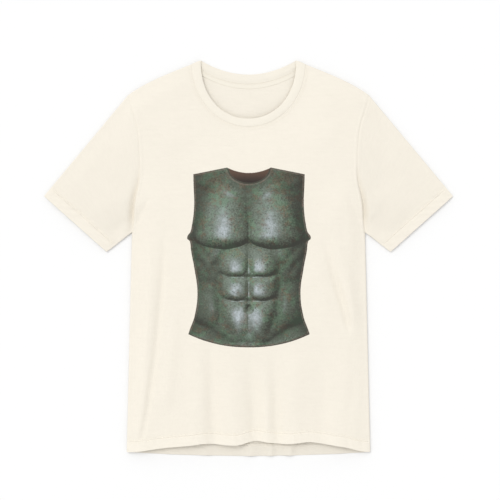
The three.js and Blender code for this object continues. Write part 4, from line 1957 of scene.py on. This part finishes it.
@dataclass(frozen=True)
class Stitching:
    """The shirt's visible sewing: twin-needle hems, the rows round the neck and those of the neck tape.

    Attributes:
        form: the shirt's form.
        tree: what lays the stitches.
        proud: how far a row stands out of its face, in metres.
        hem_span: shares of a body hem's width between which its rows run.
        taper: how much shorter a row is for each metre from the hem.
        sleeve_span: shares of a sleeve hem's width between which its rows run.
        neck_outset: distance of the inner row from the neck seam, in metres.
        neck_reach: how far the rows run round the front and the back of the neck, in degrees.
        tape_below: distances of the tape's rows from the neck seam, in metres.
        tape_clear: how far the tape's rows end before it, in degrees.
        sunk: how far the rows on a hem's inner face start inside it, in metres.
        long_points: number of points along a row of a body hem or the neck.
        sleeve_points: the same of a sleeve's row.
        tape_points: the same of a tape's row.
    """

    form: ShirtForm
    tree: StitchTree
    proud: float = 0.00014
    hem_span: Point = (0.012, 0.988)
    taper: float = 0.06
    sleeve_span: Point = (0.03, 0.97)
    neck_outset: float = 0.0018
    neck_reach: Point = (87.0, 76.0)
    tape_below: Point = (0.0019, 0.0081)
    tape_clear: float = 1.5
    sunk: float = 0.0001
    long_points: int = 500
    sleeve_points: int = 260
    tape_points: int = 240

    def _row(
        self, layer: Layer, x: Array, y: Array, relief: Array | float = 0.0, inner: float = 0.0
    ) -> StitchRow:
        """Put a row on a layer.

        Args:
            layer: the layer.
            x: plan coordinates of the row.
            y: the same, along the body.
            relief: how far the outer face stands out there.
            inner: the cloth's thickness, for a row on the inner face.

        Returns:
            The row, sunk into the cloth where the floor presses on it.
        """
        points, out = self.form.surface(layer, x, y)
        facing = -out if inner else out
        pressed = layer is Layer.LOWER and not inner
        lift = out * np.broadcast_to(relief - inner, x.shape)[:, None]
        return StitchRow(points + lift + facing * (-self.proud if pressed else self.proud), facing)

    def hem_rows(self, layer: Layer, inner: float = 0.0) -> list[StitchRow]:
        """Run twin rows across a body hem.

        Args:
            layer: the layer that the hem is of.
            inner: the hem's thickness, for rows on its inner face.

        Returns:
            The two rows.
        """
        form, hem_depth = self.form, self.form.sizes.body_hem_depth
        x, y = form.hem(layer, np.linspace(*self.hem_span, self.long_points))
        rows = []
        for depth in form.row_depths(hem_depth):
            relief = form.hem_relief(layer, np.full_like(x, depth), x, hem_depth)
            rows.append(self._row(layer, x * (1 - depth * self.taper), y + depth, relief, inner))
        return rows

    def sleeve_rows(self, side: Side) -> list[StitchRow]:
        """Run twin rows round a sleeve's hem, on its upper and lower layer.

        Args:
            side: the wearer's side.

        Returns:
            The four rows.
        """
        sleeve = Sleeve(self.form, side)
        across = np.linspace(*self.sleeve_span, self.sleeve_points)
        rows = []
        for layer in Layer:
            for depth in self.form.row_depths(self.form.sizes.sleeve_hem_depth):
                from_edge = np.full_like(across, depth)
                x, y = sleeve.plan(layer, across, from_edge)
                rows.append(self._row(layer, x, y, sleeve.relief(layer, x, y, from_edge)))
        return rows

    def neck_rows(self) -> list[StitchRow]:
        """Run twin rows on the body, just outside the rib.

        Returns:
            The four rows.
        """
        rows = []
        for layer, reach in zip(Layer, self.neck_reach):
            angles = np.radians(np.linspace(-reach, reach, self.long_points))
            for outset in (self.neck_outset, self.neck_outset + self.form.sizes.row_gap):
                rows.append(self._row(layer, *self.form.neck_seam(layer, angles, outset)))
        return rows

    def tape_rows(self) -> list[StitchRow]:
        """Run a row along each edge of the neck tape.

        Returns:
            The two rows.
        """
        s = self.form.sizes
        reach = math.radians(s.tape_reach - self.tape_clear)
        x, y = self.form.neck_seam(Layer.LOWER, np.linspace(-reach, reach, self.tape_points))
        rows = []
        for below in self.tape_below:
            points, _ = self.form.surface(Layer.LOWER, x, y - below)
            points[:, 2] += s.jersey + s.tape + s.tape_gap
            rows.append(StitchRow(points, np.tile([0.0, 0.0, 1.0], (len(points), 1))))
        return rows

    def build(self) -> dict[str, bpy.types.Object]:
        """Sew every group of rows.

        Returns:
            One object for each group, by its place.
        """
        inner = self.form.sizes.hem_thickness - self.sunk
        back = self.hem_rows(Layer.LOWER) + self.hem_rows(Layer.LOWER, inner)
        sew = self.tree.sew
        return {
            "front": sew("front_hem_stitches", self.hem_rows(Layer.UPPER), HEM_STITCH),
            "back": sew("back_hem_stitches", back, HEM_STITCH),
            "left": sew("left_sleeve_stitches", self.sleeve_rows(Side.LEFT), HEM_STITCH),
            "right": sew("right_sleeve_stitches", self.sleeve_rows(Side.RIGHT), HEM_STITCH),
            "neck": sew("neck_stitches", self.neck_rows(), NECK_STITCH),
            "tape": sew("tape_stitches", self.tape_rows(), NECK_STITCH),
        }


@dataclass(frozen=True)
class Studio:
    """The pale floor, the soft light and the camera over the shirt.

    Attributes:
        sky: strength of the even light from all round.
        key: strength of the broad light overhead, in watts per square metre.
        key_spread: how wide that light is, in degrees.
        key_from: the direction that it comes from.
        photo_width: width of the photograph at the shirt, in metres.
        photo_centre: the point of the plan in the photograph's middle.
        camera_height: height of the camera above the middle of the cloth, in metres.
        cloth_middle: height of the middle of the cloth.
        sensor: width of the camera's sensor, in millimetres.
        floor_tone: how much light the floor gives back.
        floor_size: length of the floor's sides.
        floor_gap: how far the floor lies below the shirt.
    """

    sky: float = 0.87
    key: float = 1.12
    key_spread: float = 32.0
    key_from: tuple[float, float, float] = (-0.36, 0.42, 1.0)
    photo_width: float = 0.900
    photo_centre: Point = (0.0027, 0.0149)
    camera_height: float = 2.4
    cloth_middle: float = 0.008
    sensor: float = 36.0
    floor_tone: float = 0.849
    floor_size: float = 12
    floor_gap: float = 0.0002

    def build(self) -> None:
        """Make the floor, lights and camera."""
        self._floor()
        self._world()
        self._key_light()
        self._camera()

    def _floor(self) -> None:
        """Lay the floor, which belongs to the stage and not to the shirt."""
        material = bpy.data.materials.new("floor")
        material.use_nodes = True
        shader = material.node_tree.nodes["Principled BSDF"]
        shader.inputs["Base Color"].default_value = (*[self.floor_tone] * 3, 1)
        shader.inputs["Roughness"].default_value = 1.0
        shader.inputs["Specular IOR Level"].default_value = 0.0
        bpy.ops.mesh.primitive_plane_add(size=self.floor_size, location=(0, 0, -self.floor_gap))
        floor = bpy.context.object
        floor.name = "floor"
        floor.data.materials.append(material)

    def _world(self) -> None:
        """Light the scene evenly from all round."""
        world = bpy.data.worlds.new("studio")
        world.use_nodes = True
        background = world.node_tree.nodes["Background"]
        background.inputs["Color"].default_value = (1.0, 1.0, 1.0, 1)
        background.inputs["Strength"].default_value = self.sky
        bpy.context.scene.world = world

    def _key_light(self) -> None:
        """Hang the broad light overhead."""
        light = bpy.data.lights.new("key", "SUN")
        light.angle = math.radians(self.key_spread)
        light.energy = self.key
        lamp = bpy.data.objects.new("key", light)
        lamp.rotation_euler = Vector(self.key_from).to_track_quat("Z", "Y").to_euler()
        bpy.context.collection.objects.link(lamp)

    def _camera(self) -> None:
        """Put the camera straight above the shirt, as the photograph's."""
        data = bpy.data.cameras.new("camera")
        data.sensor_width = self.sensor
        data.lens = self.sensor * self.camera_height / self.photo_width
        camera = bpy.data.objects.new("camera", data)
        camera.location = (*self.photo_centre, self.camera_height + self.cloth_middle)
        bpy.context.collection.objects.link(camera)
        scene = bpy.context.scene
        scene.camera = camera
        scene.view_settings.view_transform = "Standard"
        scene.view_settings.look = "None"


CREAM: Colour = (0.826, 0.776, 0.681, 1)
JERSEY = ClothFinish("cream_jersey", CREAM, 0.0011, 0.0009, 0.55, 0.08)
PRINTED = ClothFinish("printed_jersey", CREAM, 0.0011, 0.0009, 0.55, 0.08)
RIBBING = ClothFinish("cream_rib", (0.815, 0.768, 0.674, 1), 0.0022, 0.0011, 0.55, 0.04)
TAPE = ClothFinish("cream_tape", (0.808, 0.762, 0.664, 1), 0.0008, 0.0008, 0.30, 0.04)
THREAD = ClothFinish("cream_thread", (0.805, 0.760, 0.670, 1), 0.0005, 0.0005, 0.10, 0.02)


def register(piece: bpy.types.Object, node: str | None = None) -> None:
    """Tie a piece to the row's body.

    Args:
        piece: the finished piece.
        node: the solid's node that it stands for, where it does.
    """
    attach(piece, "root")
    if node:
        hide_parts(node)


def main() -> None:
    """Build the shirt, its stitching and the studio."""
    form = ShirtForm()
    knit, picture = KnitEffect(), PrintedPicture()
    jersey = JERSEY.material(knit)
    printed = PRINTED.material(knit, picture)

    front = BodyPanel(form, Layer.UPPER, 0.0031).grid().to_object("front_panel_cloth", printed)
    back = BodyPanel(form, Layer.LOWER, 0.0042).grid().to_object("back_panel_cloth", jersey)
    left = Sleeve(form, Side.LEFT).grid().to_object("sleeve_left_cloth", jersey)
    right = Sleeve(form, Side.RIGHT).grid().to_object("sleeve_right_cloth", jersey)
    rib = NeckRib(form).grid().to_object("neck_rib_cloth", RIBBING.material(knit))
    tape = NeckTape(form).grid().to_object("neck_tape_cloth", TAPE.material(knit))
    sewn = Stitching(form, StitchTree(THREAD.material(knit))).build()

    register(front, "front_panel")
    register(back, "back_panel")
    register(left, "sleeve_left")
    register(right, "sleeve_right")
    register(rib, "neck_rib")
    register(tape, "neck_tape")
    for stitches in sewn.values():
        register(stitches)

    left_sewing, right_sewing = [sewn["left"]], [sewn["right"]]
    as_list(left_sewing)
    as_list(right_sewing)

    Studio().build()


if __name__ == "__main__":
    main()
